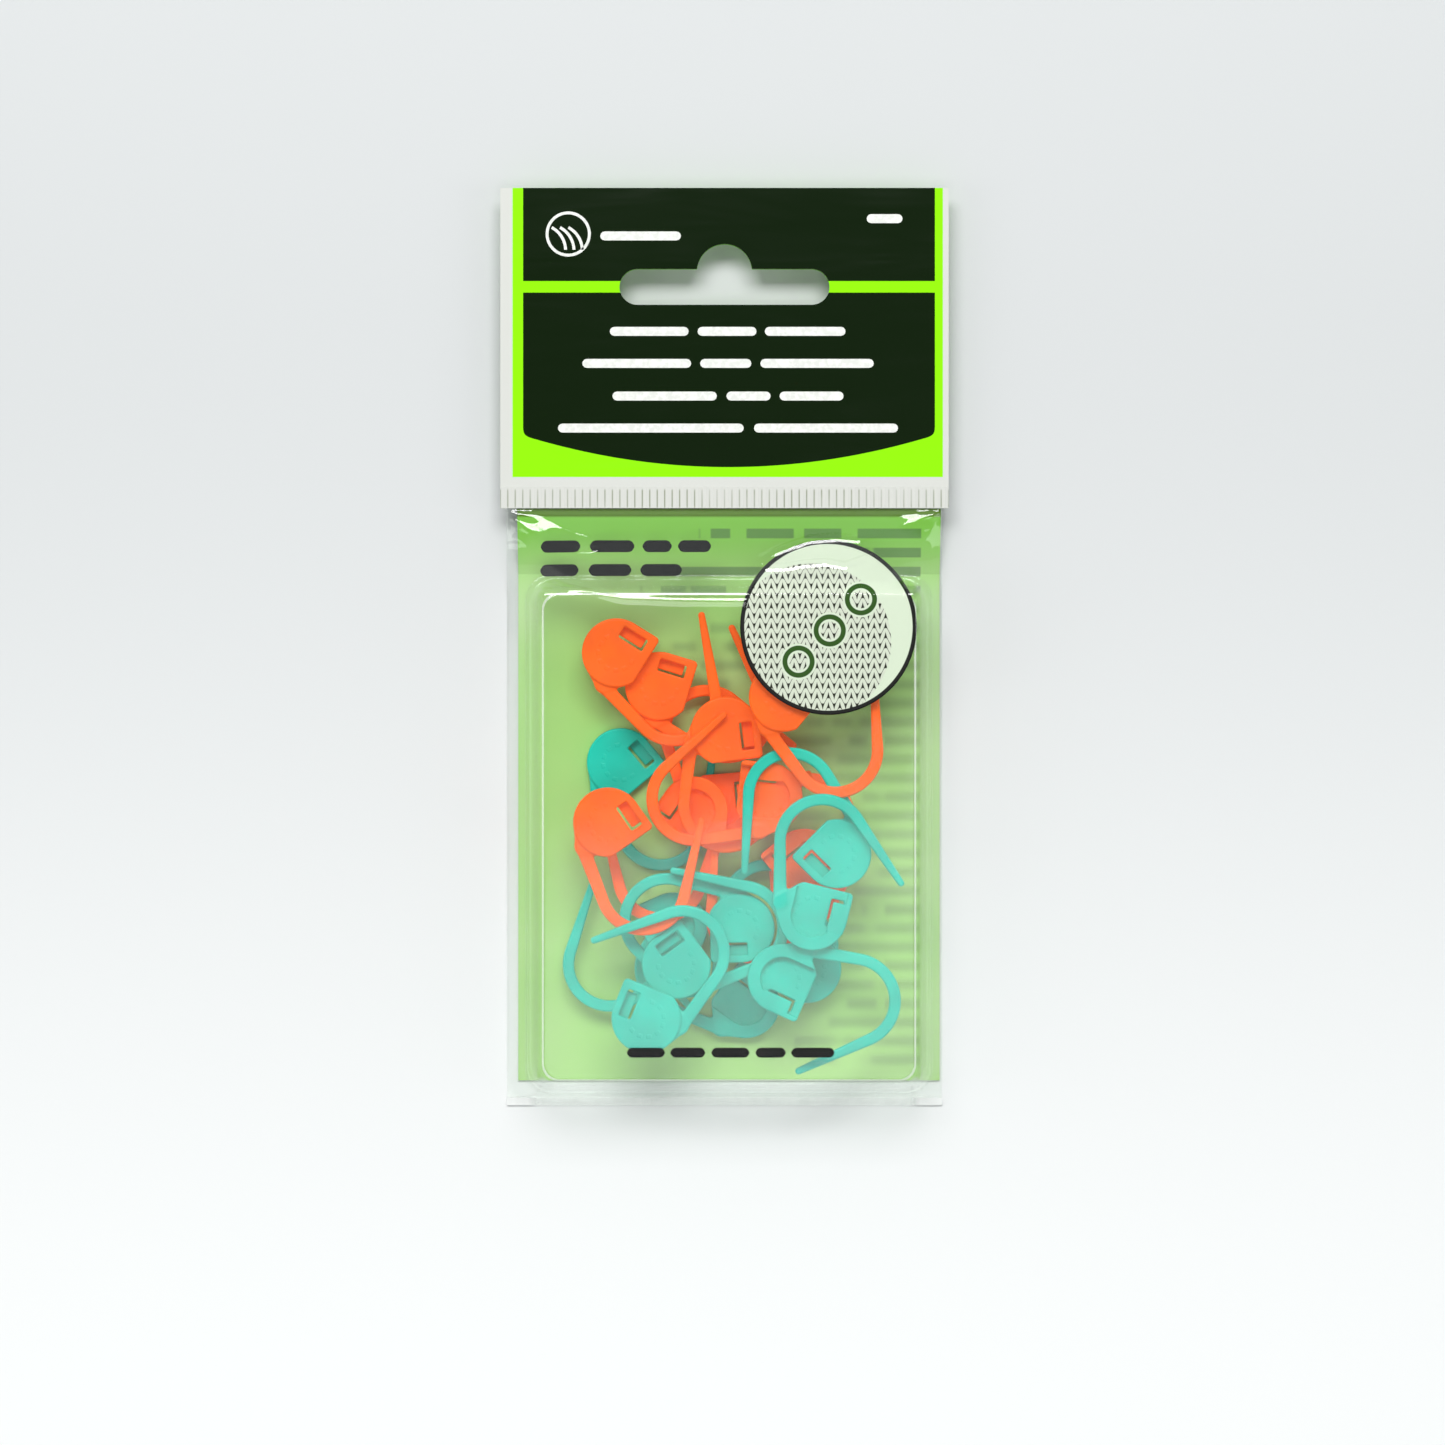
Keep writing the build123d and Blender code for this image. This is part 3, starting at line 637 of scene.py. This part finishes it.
def marker_field(x, y, z):
    """Distance in millimetres to one marker, with its front face up."""
    v, u = -x * cos(CATCH_TILT) - y * sin(CATCH_TILT), -x * sin(CATCH_TILT) + y * cos(CATCH_TILT)
    square = block(v, u, 0, HEAD_ROUND, 0, TOP_EDGE, HEAD_CORNER)
    disc = np.minimum(np.maximum(np.hypot(x, y) - HEAD_ROUND, u - TOP_EDGE), square)
    hull = tapered(x, y, (0, 0), (NECK_SHIFT, NECK_WIDTH), HEAD_ROUND, NECK_WIDTH / 2)
    rim = np.minimum(np.maximum(hull, u - TOP_EDGE), square)
    body = melted(drawn_up(disc, z, PLATE_FOOT - 0.3, HEAD_THICK, PLATE_EDGE),
                  drawn_up(rim, z, 0, ARM_THICK, RIM_EDGE), 0.12)

    off_x, off_y = x - BEND_MIDDLE[0], y - BEND_MIDDLE[1]
    last = pi - SPLAY
    root = bend_place(last)
    tip = (root[0] - PIN_LENGTH * sin(SPLAY), root[1] - PIN_LENGTH * cos(SPLAY))
    angle = np.arctan2(off_y, off_x)
    ends = np.minimum(np.hypot(off_x - BEND_ROUND, off_y), np.hypot(x - root[0], y - root[1]))
    on_bend = np.abs(np.hypot(off_x, off_y) - BEND_ROUND)
    bend = np.where((angle > 0) & (angle < last), on_bend, ends) - ARM_WIDTH / 2
    neck = tapered(x, y, (NECK_SHIFT, NECK_WIDTH), (NECK_SHIFT, BEND_MIDDLE[1]), NECK_WIDTH / 2,
                   ARM_WIDTH / 2)
    pin = tapered(x, y, root, tip, ARM_WIDTH / 2, TIP_WIDTH / 2)
    arm = drawn_up(np.minimum(np.minimum(bend, neck), pin), z, 0, ARM_THICK, ARM_EDGE)
    body = melted(body, arm, NECK_FILLET)

    inner, catch = HEAD_ROUND - RIM_WIDTH, HEAD_ROUND - CATCH_WALL
    roof_foot = WINDOW_SHIFT - WINDOW_LONG / 2 - CATCH_WALL
    roof_head = WINDOW_SHIFT + WINDOW_LONG / 2 - CATCH_WALL / 2
    pocket = np.minimum(np.hypot(x, y) - inner, block(v, u, -inner, inner, 0, 2 * TOP_EDGE))
    pocket = np.minimum(pocket, block(v, u, 0, catch, roof_foot, 2 * TOP_EDGE, 0.15))
    body = carved(body, drawn_up(pocket, z, -2.0, PLATE_FOOT, 0.1), 0.16)
    window_v = catch + CATCH_WALL - WINDOW_BAR
    window = block(v, u, window_v - WINDOW_WIDE, window_v, WINDOW_SHIFT - WINDOW_LONG / 2,
                   WINDOW_SHIFT + WINDOW_LONG / 2, 0.25)
    body = carved(body, drawn_up(window, z, PLATE_FOOT - 0.35, 3.0, 0.05), 0.22)
    roof = block(v, u, window_v - WINDOW_WIDE + ROOF_THICK, HEAD_ROUND - 0.2, roof_foot, roof_head,
                 0.2)
    return melted(body, drawn_up(roof, z, 0, ROOF_THICK + 0.05, 0.1), 0.1)


def skin(field, low, high, cell):
    """Closed quads on a field's zero level inside a box: vertices and faces facing out."""
    counts = [int((high[k] - low[k]) / cell) + 2 for k in range(3)]
    value = field(*np.meshgrid(*[low[k] + cell * np.arange(counts[k]) for k in range(3)],
                               indexing="ij"))
    inside = value < 0
    cells = tuple(count - 1 for count in counts)
    total, hits = np.zeros(cells + (3,)), np.zeros(cells)
    corner = np.stack(np.meshgrid(*[np.arange(count) for count in cells], indexing="ij"), -1)
    crossings = []
    for axis in range(3):
        near = [slice(None)] * 3
        near[axis] = slice(0, -1)
        far = [slice(None)] * 3
        far[axis] = slice(1, None)
        first, second = value[tuple(near)], value[tuple(far)]
        crossed = inside[tuple(near)] != inside[tuple(far)]
        share = np.where(crossed, first / np.where(crossed, first - second, 1), 0)
        crossings.append((crossed, inside[tuple(near)]))
        one, two = (axis + 1) % 3, (axis + 2) % 3
        for step_one in (0, 1):
            for step_two in (0, 1):
                part = [slice(None)] * 3
                part[one] = slice(step_one, step_one + cells[one])
                part[two] = slice(step_two, step_two + cells[two])
                here = crossed[tuple(part)]
                spot = corner.astype(float)
                spot[..., axis] += share[tuple(part)]
                spot[..., one] += step_one
                spot[..., two] += step_two
                total += spot * here[..., None]
                hits += here
    used = hits > 0
    number = np.full(cells, -1)
    number[used] = np.arange(used.sum())
    points = np.array(low) + cell * total[used] / hits[used][:, None]
    quads = []
    for axis, (crossed, starts_inside) in enumerate(crossings):
        one, two = (axis + 1) % 3, (axis + 2) % 3
        spots = np.argwhere(crossed)
        turned = starts_inside[crossed]
        around = []
        for step_one, step_two in ((-1, -1), (0, -1), (0, 0), (-1, 0)):
            beside = spots.copy()
            beside[:, one] += step_one
            beside[:, two] += step_two
            around.append(number[tuple(beside.T)])
        ring = np.stack(around, 1)
        ring[~turned] = ring[~turned][:, ::-1]
        quads.append(ring)
    for _ in range(3):
        gradient = np.stack([field(*(points + shift).T) - field(*(points - shift).T)
                             for shift in np.eye(3) * PROBE], 1) / (2 * PROBE)
        step = field(*points.T) / np.maximum((gradient ** 2).sum(1), 0.25)
        points -= np.clip(step, -LONGEST_STEP, LONGEST_STEP)[:, None] * gradient
    return points, np.concatenate(quads)


def marker_plastic(name, colour, glow, painted_glow):
    """Satin moulded plastic with a little painted glow, and a raised ring of dashes on its disc.
    """
    material, tree = new_material(name)
    where = place_of(tree)[0]
    local = node(tree, "ShaderNodeUVMap", {"uv_map": "mould"})
    split = node(tree, "ShaderNodeSeparateXYZ", Vector=local.outputs[0])
    flat_x, flat_y = (calc(tree, "MULTIPLY_ADD", split.outputs[k], MOULD_SPAN, -MOULD_SPAN / 2)
                      for k in (0, 1))
    turn = calc(tree, "FRACT", calc(tree, "MULTIPLY", calc(tree, "ARCTAN2", flat_y, flat_x),
                                    DASH_COUNT / (2 * pi)))
    ring = between(tree, far_from(tree, flat_x, flat_y), RING_LOW, RING_HIGH, 0.1)
    dash = between(tree, turn, 0.25, 0.75, 0.06)
    right = calc(tree, "GREATER_THAN", flat_x, RING_LEFT)
    raised = calc(tree, "MULTIPLY", calc(tree, "MULTIPLY", ring, dash), right)
    flow = node(tree, "ShaderNodeTexNoise", Vector=where, Scale=170.0, Detail=2.0)
    grain = node(tree, "ShaderNodeTexNoise", Vector=where, Scale=5200.0, Detail=2.0)
    height = calc(tree, "MULTIPLY_ADD", grain.outputs[0], 0.12, raised)
    height = calc(tree, "MULTIPLY_ADD", flow.outputs[0], 0.5, height)
    bump = node(tree, "ShaderNodeBump", Strength=0.5, Distance=0.09 * MM, Height=height)
    shade = tuple(c * 0.86 for c in colour[:3]) + (1,)
    tone = mixed(tree, ramp(tree, flow.outputs[0], 0.35, 0.65), colour, shade)
    rough = ramp(tree, flow.outputs[0], 0.3, 0.7, 0.34, 0.44)
    # Painted glow: emission in the plastic's own tone.
    surface_of(tree, node(tree, "ShaderNodeBsdfPrincipled", Base_Color=tone, Roughness=rough,
                          Subsurface_Weight=glow, Subsurface_Radius=(1.0, 1.0, 1.0),
                          Subsurface_Scale=0.6 * MM, Specular_IOR_Level=0.16,
                          Emission_Color=tone, Emission_Strength=painted_glow,
                          Normal=bump.outputs[0]))
    return material


reach_low, reach_high = (-14.6, -5.8, -0.3), (6.6, 19.4, 2.1)
points, quads = skin(marker_field, reach_low, reach_high, MARKER_CELL)
marker = bpy.data.meshes.new("marker")
marker.from_pydata((points * MM).tolist(), [], quads.tolist())
marker.update()
marker.shade_smooth()
mould = marker.uv_layers.new(name="mould")
corners = np.empty(len(marker.loops), dtype=np.int32)
marker.loops.foreach_get("vertex_index", corners)
mould.data.foreach_set("uv", (points[corners, :2] / MOULD_SPAN + 0.5).astype(np.float32).ravel())

# Both plastics carry a painted glow, stronger in the orange.
plastics = {
    "orange": marker_plastic("orange_plastic", (1.0, 0.13, 0.006, 1), 0.1, 0.16),
    "teal": marker_plastic("teal_plastic", (0.003, 0.555, 0.43, 1), 0.1, 0.04),
}
for joint in frame["joints"]:
    marker_name = joint["name"][:-len("_flex")]
    turn = radians(MARKER_TURNS[marker_name] - 90)
    place = Matrix.Rotation(turn, 4, "Z")
    if joint["axis"][2] < 0:
        place = place @ Matrix.Rotation(pi, 4, "Y")
    hinge = Vector((HINGE_SPOT[0], HINGE_SPOT[1], ARM_THICK / 2)) * MM
    place = Matrix.Translation(Vector(joint["pos_m"])) @ place @ Matrix.Translation(-hinge)
    mesh = marker.copy()
    mesh.transform(place)
    colour_name = marker_name.split("_")[0]
    mesh.materials.append(plastics[colour_name])
    piece = bpy.data.objects.new(marker_name, mesh)
    bpy.context.scene.collection.objects.link(piece)
    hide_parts(marker_name + "_head", marker_name + "_arm")
    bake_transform(piece)

# ---------------------------------------------------------------------------------------------
# The front film: clear film drawn tight over the tray, from the sides and the weld up to the
# seal. It is a stretched skin, with the main folds that the photograph shows near the seal.
# ---------------------------------------------------------------------------------------------
SEAL_EDGE, SEAL_LIFT, TAIL_END = 21.8, 4.1, 24.9
WELD_EDGE, WELD_LIFT = -70.5, 0.2
FILM_HALF, SIDE_LIFT, SIDE_RISE, SHOULDER = 34.12, 0.17, 8.0, 11.6
FILM_SKIN, FILM_CLEAR = 0.05, 0.12
SHEET_TOP, SHEET_MIDDLE, SHEET_HALF = 0.42, 0.7, 33.15
FILM_ROW_STEP, FILM_TOP_STEP, FINE_FROM = 0.64, 0.22, 5.0
COARSE_COLUMNS, COARSE_ROWS, COARSE_ROUNDS = 86, 117, 2500
FILM_COLUMNS, FILM_ROUNDS, RIPPLE_RISE = 228, 900, 0.035
WINDOW_FALL, FOLD_GAIN = 0.3, 1.25
# Each fold has its width and the points of its line, all in millimetres.
FOLDS = [
    (0.60, ((-34.0, 21.2), (-29.9, 20.4), (-25.8, 19.3), (-23.0, 18.2), (-20.7, 17.6),
            (-18.4, 17.2))),
    (0.55, ((-34.0, 20.6), (-31.4, 19.0), (-28.8, 17.4), (-26.3, 16.1), (-23.5, 15.2),
            (-21.1, 15.0), (-19.5, 15.5), (-18.4, 16.4))),
    (1.00, ((-20.6, 17.3), (-19.4, 16.8), (-18.6, 16.2))),
    (0.60, ((-33.6, 17.0), (-32.4, 17.1), (-30.9, 16.2), (-29.1, 15.1))),
    (0.60, ((-29.1, 15.1), (-29.8, 14.7), (-31.8, 15.0))),
    (0.40, ((-32.4, 11.1), (-30.2, 10.7), (-28.6, 10.2), (-25.1, 9.2), (-20.7, 8.5),
            (-15.8, 7.3), (-7.6, 7.0), (0.9, 6.9), (4.6, 6.9))),
    (0.75, ((34.0, 21.2), (31.4, 20.3), (27.2, 18.9), (23.7, 17.6), (20.7, 16.9),
            (17.4, 17.2), (13.2, 16.8), (10.4, 15.9), (7.7, 14.8), (6.1, 13.9), (5.0, 12.9))),
    (0.70, ((4.9, 12.4), (7.0, 12.4), (9.5, 12.4), (11.9, 12.9), (15.6, 13.2), (18.6, 12.6),
            (22.1, 13.9), (24.0, 14.8), (26.8, 16.4), (29.5, 17.9), (31.8, 19.0))),
    (0.65, ((21.6, 15.6), (23.5, 16.0), (25.6, 17.3), (27.9, 18.7), (30.7, 19.9),
            (33.6, 20.8))),
    (0.80, ((26.0, 16.6), (27.6, 17.6), (28.4, 18.0))),
    (0.65, ((27.9, 11.7), (29.5, 12.1), (31.9, 12.6))),
    (1.10, ((4.6, 12.6), (5.6, 13.3), (7.2, 14.4))),
    (0.60, ((26.4, 14.0), (29.0, 15.6), (31.9, 17.9))),
]


def tray_height(x, y):
    """Height of the tray's outside over a point in millimetres, or below zero beside it."""
    corner = FLANGE_ROUND / MM
    over_x = np.abs(x - TRAY_MIDDLE[0] / MM) - (TRAY_HALF[0] / MM - corner)
    over_y = np.abs(y - TRAY_MIDDLE[1] / MM) - (TRAY_HALF[1] / MM - corner)
    beyond = np.hypot(np.maximum(over_x, 0), np.maximum(over_y, 0))
    inset = corner - beyond - np.minimum(np.maximum(over_x, over_y), 0)
    steps = np.array(profile[2:]) / MM
    return np.interp(inset, steps[:, 0], steps[:, 1], left=-1.0)


def resting_height(x, y):
    """Lowest height that the front film may have."""
    rise = np.maximum(y - SHOULDER, 0) * (SEAL_LIFT - SIDE_LIFT) / (SEAL_EDGE - SHOULDER)
    over_sheet = (np.abs(x - SHEET_MIDDLE) < SHEET_HALF) & (y < SEAL_EDGE - 1.0)
    floor = np.where(over_sheet, SHEET_TOP, SIDE_LIFT) + rise
    return np.maximum(floor, tray_height(x, y) + FILM_CLEAR)


def drawn_tight(xs, ys, height, rounds):
    """Relax a skin over what it rests on, with its edges held."""
    x, y = np.meshgrid(xs, ys)
    rest = resting_height(x, y)
    up, down = np.diff(ys)[1:, None], np.diff(ys)[:-1, None]
    above, below = 2 / (up * (up + down)), 2 / (down * (up + down))
    aside = 1 / (xs[1] - xs[0]) ** 2
    share = above + below + 2 * aside
    for _ in range(rounds):
        inner = (above * height[2:, 1:-1] + below * height[:-2, 1:-1]
                 + aside * (height[1:-1, 2:] + height[1:-1, :-2])) / share
        height[1:-1, 1:-1] = np.maximum(inner, rest[1:-1, 1:-1])
    return height


def edges_held(xs, ys):
    """A first guess with the film's four edges where they are held."""
    x, y = np.meshgrid(xs, ys)
    height = resting_height(x, y)
    rise = np.clip((ys - SIDE_RISE) / (SEAL_EDGE - SIDE_RISE), 0, 1)
    rise = (SEAL_LIFT - SIDE_LIFT) * (1.6 * rise - 0.6 * rise ** 2)
    height[:, 0] = height[:, -1] = SIDE_LIFT + rise
    height[0, :], height[-1, :] = WELD_LIFT, SEAL_LIFT
    return height


def fold_height(x, y, fall):
    """Height of all the folds: ridges along lines, tapered towards both ends.

    Each is as steep as it takes to tilt the film, with its own fall, towards the window.
    """
    steep = np.clip(np.abs(fall - WINDOW_FALL), 0.1, 0.6) * FOLD_GAIN
    total = np.zeros_like(x)
    for width, line in FOLDS:
        points = np.array(line)
        steps = np.diff(points, axis=0)
        lengths = np.hypot(*steps.T)
        starts = np.concatenate([[0], np.cumsum(lengths)])
        nearest, travelled = np.full(x.shape, 1e6), np.zeros_like(x)
        for spot, step, length, start in zip(points, steps, lengths, starts):
            along = ((x - spot[0]) * step[0] + (y - spot[1]) * step[1]) / length ** 2
            along = np.clip(along, 0, 1)
            gap = np.hypot(x - spot[0] - along * step[0], y - spot[1] - along * step[1])
            closer = gap < nearest
            nearest = np.where(closer, gap, nearest)
            travelled = np.where(closer, start + along * length, travelled)
        taper = np.clip(np.minimum(travelled, starts[-1] - travelled) / 1.6, 0, 1) * 0.75 + 0.25
        total = np.maximum(total, steep * width * taper * np.exp(-(nearest / width) ** 2))
    return total


coarse_x = np.linspace(-FILM_HALF, FILM_HALF, COARSE_COLUMNS)
coarse_y = np.linspace(WELD_EDGE, SEAL_EDGE, COARSE_ROWS)
coarse = drawn_tight(coarse_x, coarse_y, edges_held(coarse_x, coarse_y), COARSE_ROUNDS)
film_x = np.linspace(-FILM_HALF, FILM_HALF, FILM_COLUMNS)
film_y = np.concatenate([
    np.linspace(WELD_EDGE, FINE_FROM, int((FINE_FROM - WELD_EDGE) / FILM_ROW_STEP)),
    np.linspace(FINE_FROM, SEAL_EDGE, int((SEAL_EDGE - FINE_FROM) / FILM_TOP_STEP))[1:]])
start = np.array([np.interp(film_x, coarse_x, line) for line in coarse])
start = np.array([np.interp(film_y, coarse_y, line) for line in start.T]).T
held = edges_held(film_x, film_y)
start[:, 0], start[:, -1], start[0], start[-1] = held[:, 0], held[:, -1], held[0], held[-1]
film_height = drawn_tight(film_x, film_y, start, FILM_ROUNDS)
at_x, at_y = np.meshgrid(film_x, film_y)
free = np.minimum.reduce([np.ones_like(at_x), (FILM_HALF - np.abs(at_x)) / 1.5,
                          (SEAL_EDGE - at_y) / 1.0, (at_y - WELD_EDGE) / 2.0])
ripple = (np.sin(at_x / 3.1 + at_y / 5.3) + np.sin(at_x / 4.7 - at_y / 3.7 + 1.0)
          + 0.7 * np.sin(at_y / 2.6 + 0.6 * np.sin(at_x / 6.1)) + 2.7)
fall = -np.gradient(film_height, film_y, axis=0)
film_height = film_height + free * (RIPPLE_RISE * ripple + fold_height(at_x, at_y, fall))
film_height = np.maximum(film_height, resting_height(at_x, at_y))

tail_y = np.linspace(SEAL_EDGE, TAIL_END, 4)[1:]
film_y = np.concatenate([film_y, tail_y])
film_height = np.vstack([film_height, np.full((len(tail_y), len(film_x)), SEAL_LIFT)])
at_x, at_y = np.meshgrid(film_x, film_y)
verts = np.stack([at_x.ravel(), at_y.ravel(), film_height.ravel()], 1) * MM
corner = np.arange(at_x.size).reshape(at_x.shape)
faces = np.stack([corner[:-1, :-1].ravel(), corner[:-1, 1:].ravel(), corner[1:, 1:].ravel(),
                  corner[1:, :-1].ravel()], 1)
film = new_object("draped_film", verts.tolist(), faces.tolist())
skin_wall = film.modifiers.new("skin", "SOLIDIFY")
skin_wall.thickness, skin_wall.offset = FILM_SKIN * MM, 1.0
film.data.materials.append(film_clear)
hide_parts("front_film")
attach(film, "pack")

# ---------------------------------------------------------------------------------------------
# The film's print: ink on its inner side. Two lines of words and one at the foot are bare bars,
# and a round badge shows plain knitting with three plain rings.
# ---------------------------------------------------------------------------------------------
BADGE_EDGE, INK_UNDER, INK_DEPTH, BAR_ROWS, BAR_STEP = 0.65, 0.05, 0.01, 7, 0.35
STITCH_WIDE, STITCH_TALL, STITCH_SLANT = 1.76, 1.54, 1.15
LEAF_HALF, LEAF_TAPER = 0.46, 0.62
KNIT_SPOT, KNIT_ROUND = (-2.6, -2.4), 12.3
RING_SPOTS, RING_ROUND = ((-4.6, -5.4), (0.2, -0.6), (5.0, 4.2)), 2.1
BADGE_PAPER, LEAF_TONE = (0.62, 0.70, 0.55, 1), (0.60, 0.64, 0.53, 1)
GAP_TONE, RING_TONE = (0.02, 0.02, 0.012, 1), (0.02, 0.075, 0.004, 1)
EDGE_TONE = (0.004, 0.004, 0.003, 1)
FILM_WORDS = [
    (15.7, 1.9, ((-28.6, -22.4), (-20.9, -14.0), (-12.7, -8.2), (-7.2, -2.1))),
    (11.9, 1.9, ((-28.6, -22.6), (-21.0, -14.4), (-13.0, -6.6))),
    (-62.5, 1.5, ((-15.0, -9.2), (-8.3, -3.0), (-2.0, 3.8), (4.8, 9.4), (10.3, 16.9))),
]


def under_film(x, y):
    """Height just under the front film, in metres."""
    column = np.clip(np.searchsorted(film_x, x) - 1, 0, len(film_x) - 2)
    row = np.clip(np.searchsorted(film_y, y) - 1, 0, len(film_y) - 2)
    across = (x - film_x[column]) / (film_x[column + 1] - film_x[column])
    along = (y - film_y[row]) / (film_y[row + 1] - film_y[row])
    low = film_height[row, column] * (1 - across) + film_height[row, column + 1] * across
    high = film_height[row + 1, column] * (1 - across) + film_height[row + 1, column + 1] * across
    return (low * (1 - along) + high * along - INK_UNDER) * MM


def ink_sheet(name, patches, material):
    """One piece of thin ink under the film, from grids of points in millimetres."""
    verts, faces = [], []
    for x, y in patches:
        number = len(verts) + np.arange(x.size).reshape(x.shape)
        verts += np.stack([x.ravel() * MM, y.ravel() * MM, under_film(x, y).ravel()], 1).tolist()
        faces += np.stack([number[:-1, :-1].ravel(), number[1:, :-1].ravel(),
                           number[1:, 1:].ravel(), number[:-1, 1:].ravel()], 1).tolist()
    verts, number = np.unique(np.round(verts, 7), axis=0, return_inverse=True)
    faces = number.reshape(-1)[np.array(faces)]
    piece = new_object(name, verts.tolist(), faces.tolist())
    depth = piece.modifiers.new("ink", "SOLIDIFY")
    depth.thickness, depth.offset = INK_DEPTH * MM, -1.0
    piece.data.materials.append(material)
    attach(piece, "pack")
    return piece


patches = []
for middle, tall, words in FILM_WORDS:
    for left, right in words:
        along = np.linspace(left, right, int((right - left) / BAR_STEP) + 2)
        near_end = np.clip(np.minimum(along - left, right - along) / (tall / 2), 0.02, 1)
        half = tall / 2 * np.sqrt(1 - (1 - near_end) ** 2)
        across = np.linspace(-1, 1, BAR_ROWS)
        patches.append((np.repeat(along[:, None], BAR_ROWS, 1),
                        middle + half[:, None] * across[None, :]))
ink_sheet("film_words", patches, ink_material("black_ink", (0.002, 0.002, 0.002, 1), 0.6, 0.05))

badge_print, tree = new_material("badge_print")
_, x, y = flat_place(tree)
x = calc(tree, "SUBTRACT", x, BADGE_SPOT[0])
y = calc(tree, "SUBTRACT", y, BADGE_SPOT[1])
column = calc(tree, "FRACT", calc(tree, "DIVIDE", x, STITCH_WIDE))
side = calc(tree, "MULTIPLY", calc(tree, "ABSOLUTE", calc(tree, "SUBTRACT", column, 0.5)), 2.0)
phase = calc(tree, "FRACT", calc(tree, "SUBTRACT", calc(tree, "DIVIDE", y, STITCH_TALL),
                                 calc(tree, "MULTIPLY", side, STITCH_SLANT)))
end = calc(tree, "ABSOLUTE", calc(tree, "SUBTRACT", calc(tree, "MULTIPLY", side, 2.0), 1.0))
bulge = calc(tree, "SUBTRACT", 1.0, calc(tree, "MULTIPLY", calc(tree, "POWER", end, 3.0),
                                         LEAF_TAPER))
reach = calc(tree, "ABSOLUTE", calc(tree, "SUBTRACT", phase, 0.5))
leaf = calc(tree, "SUBTRACT", calc(tree, "MULTIPLY", bulge, LEAF_HALF), reach)
colour = mixed(tree, ramp(tree, leaf, -0.02, 0.04), GAP_TONE, LEAF_TONE)
out_far = far_from(tree, x, y)
knitted = calc(tree, "MULTIPLY",
               ramp(tree, far_from(tree, x, y, *KNIT_SPOT), KNIT_ROUND, KNIT_ROUND - 0.1),
               ramp(tree, out_far, BADGE_ROUND - 0.3, BADGE_ROUND - 0.4))
colour = mixed(tree, knitted, BADGE_PAPER, colour)
for spot in RING_SPOTS:
    gap = calc(tree, "ABSOLUTE", calc(tree, "SUBTRACT", far_from(tree, x, y, *spot), RING_ROUND))
    colour = mixed(tree, ramp(tree, gap, 0.75, 0.65), colour, BADGE_PAPER)
    colour = mixed(tree, ramp(tree, gap, 0.42, 0.34), colour, RING_TONE)
colour = mixed(tree, ramp(tree, out_far, BADGE_ROUND - BADGE_EDGE - 0.04,
                          BADGE_ROUND - BADGE_EDGE + 0.04), colour, EDGE_TONE)
surface_of(tree, node(tree, "ShaderNodeBsdfPrincipled", Base_Color=colour, Roughness=0.55,
                      Specular_IOR_Level=0.2))
far, turn = np.meshgrid(np.linspace(0.02, BADGE_ROUND, 50), np.linspace(0, 2 * pi, 181),
                        indexing="ij")
rings = (BADGE_SPOT[0] + far * np.cos(turn), BADGE_SPOT[1] + far * np.sin(turn))
ink_sheet("film_badge", [rings], badge_print)
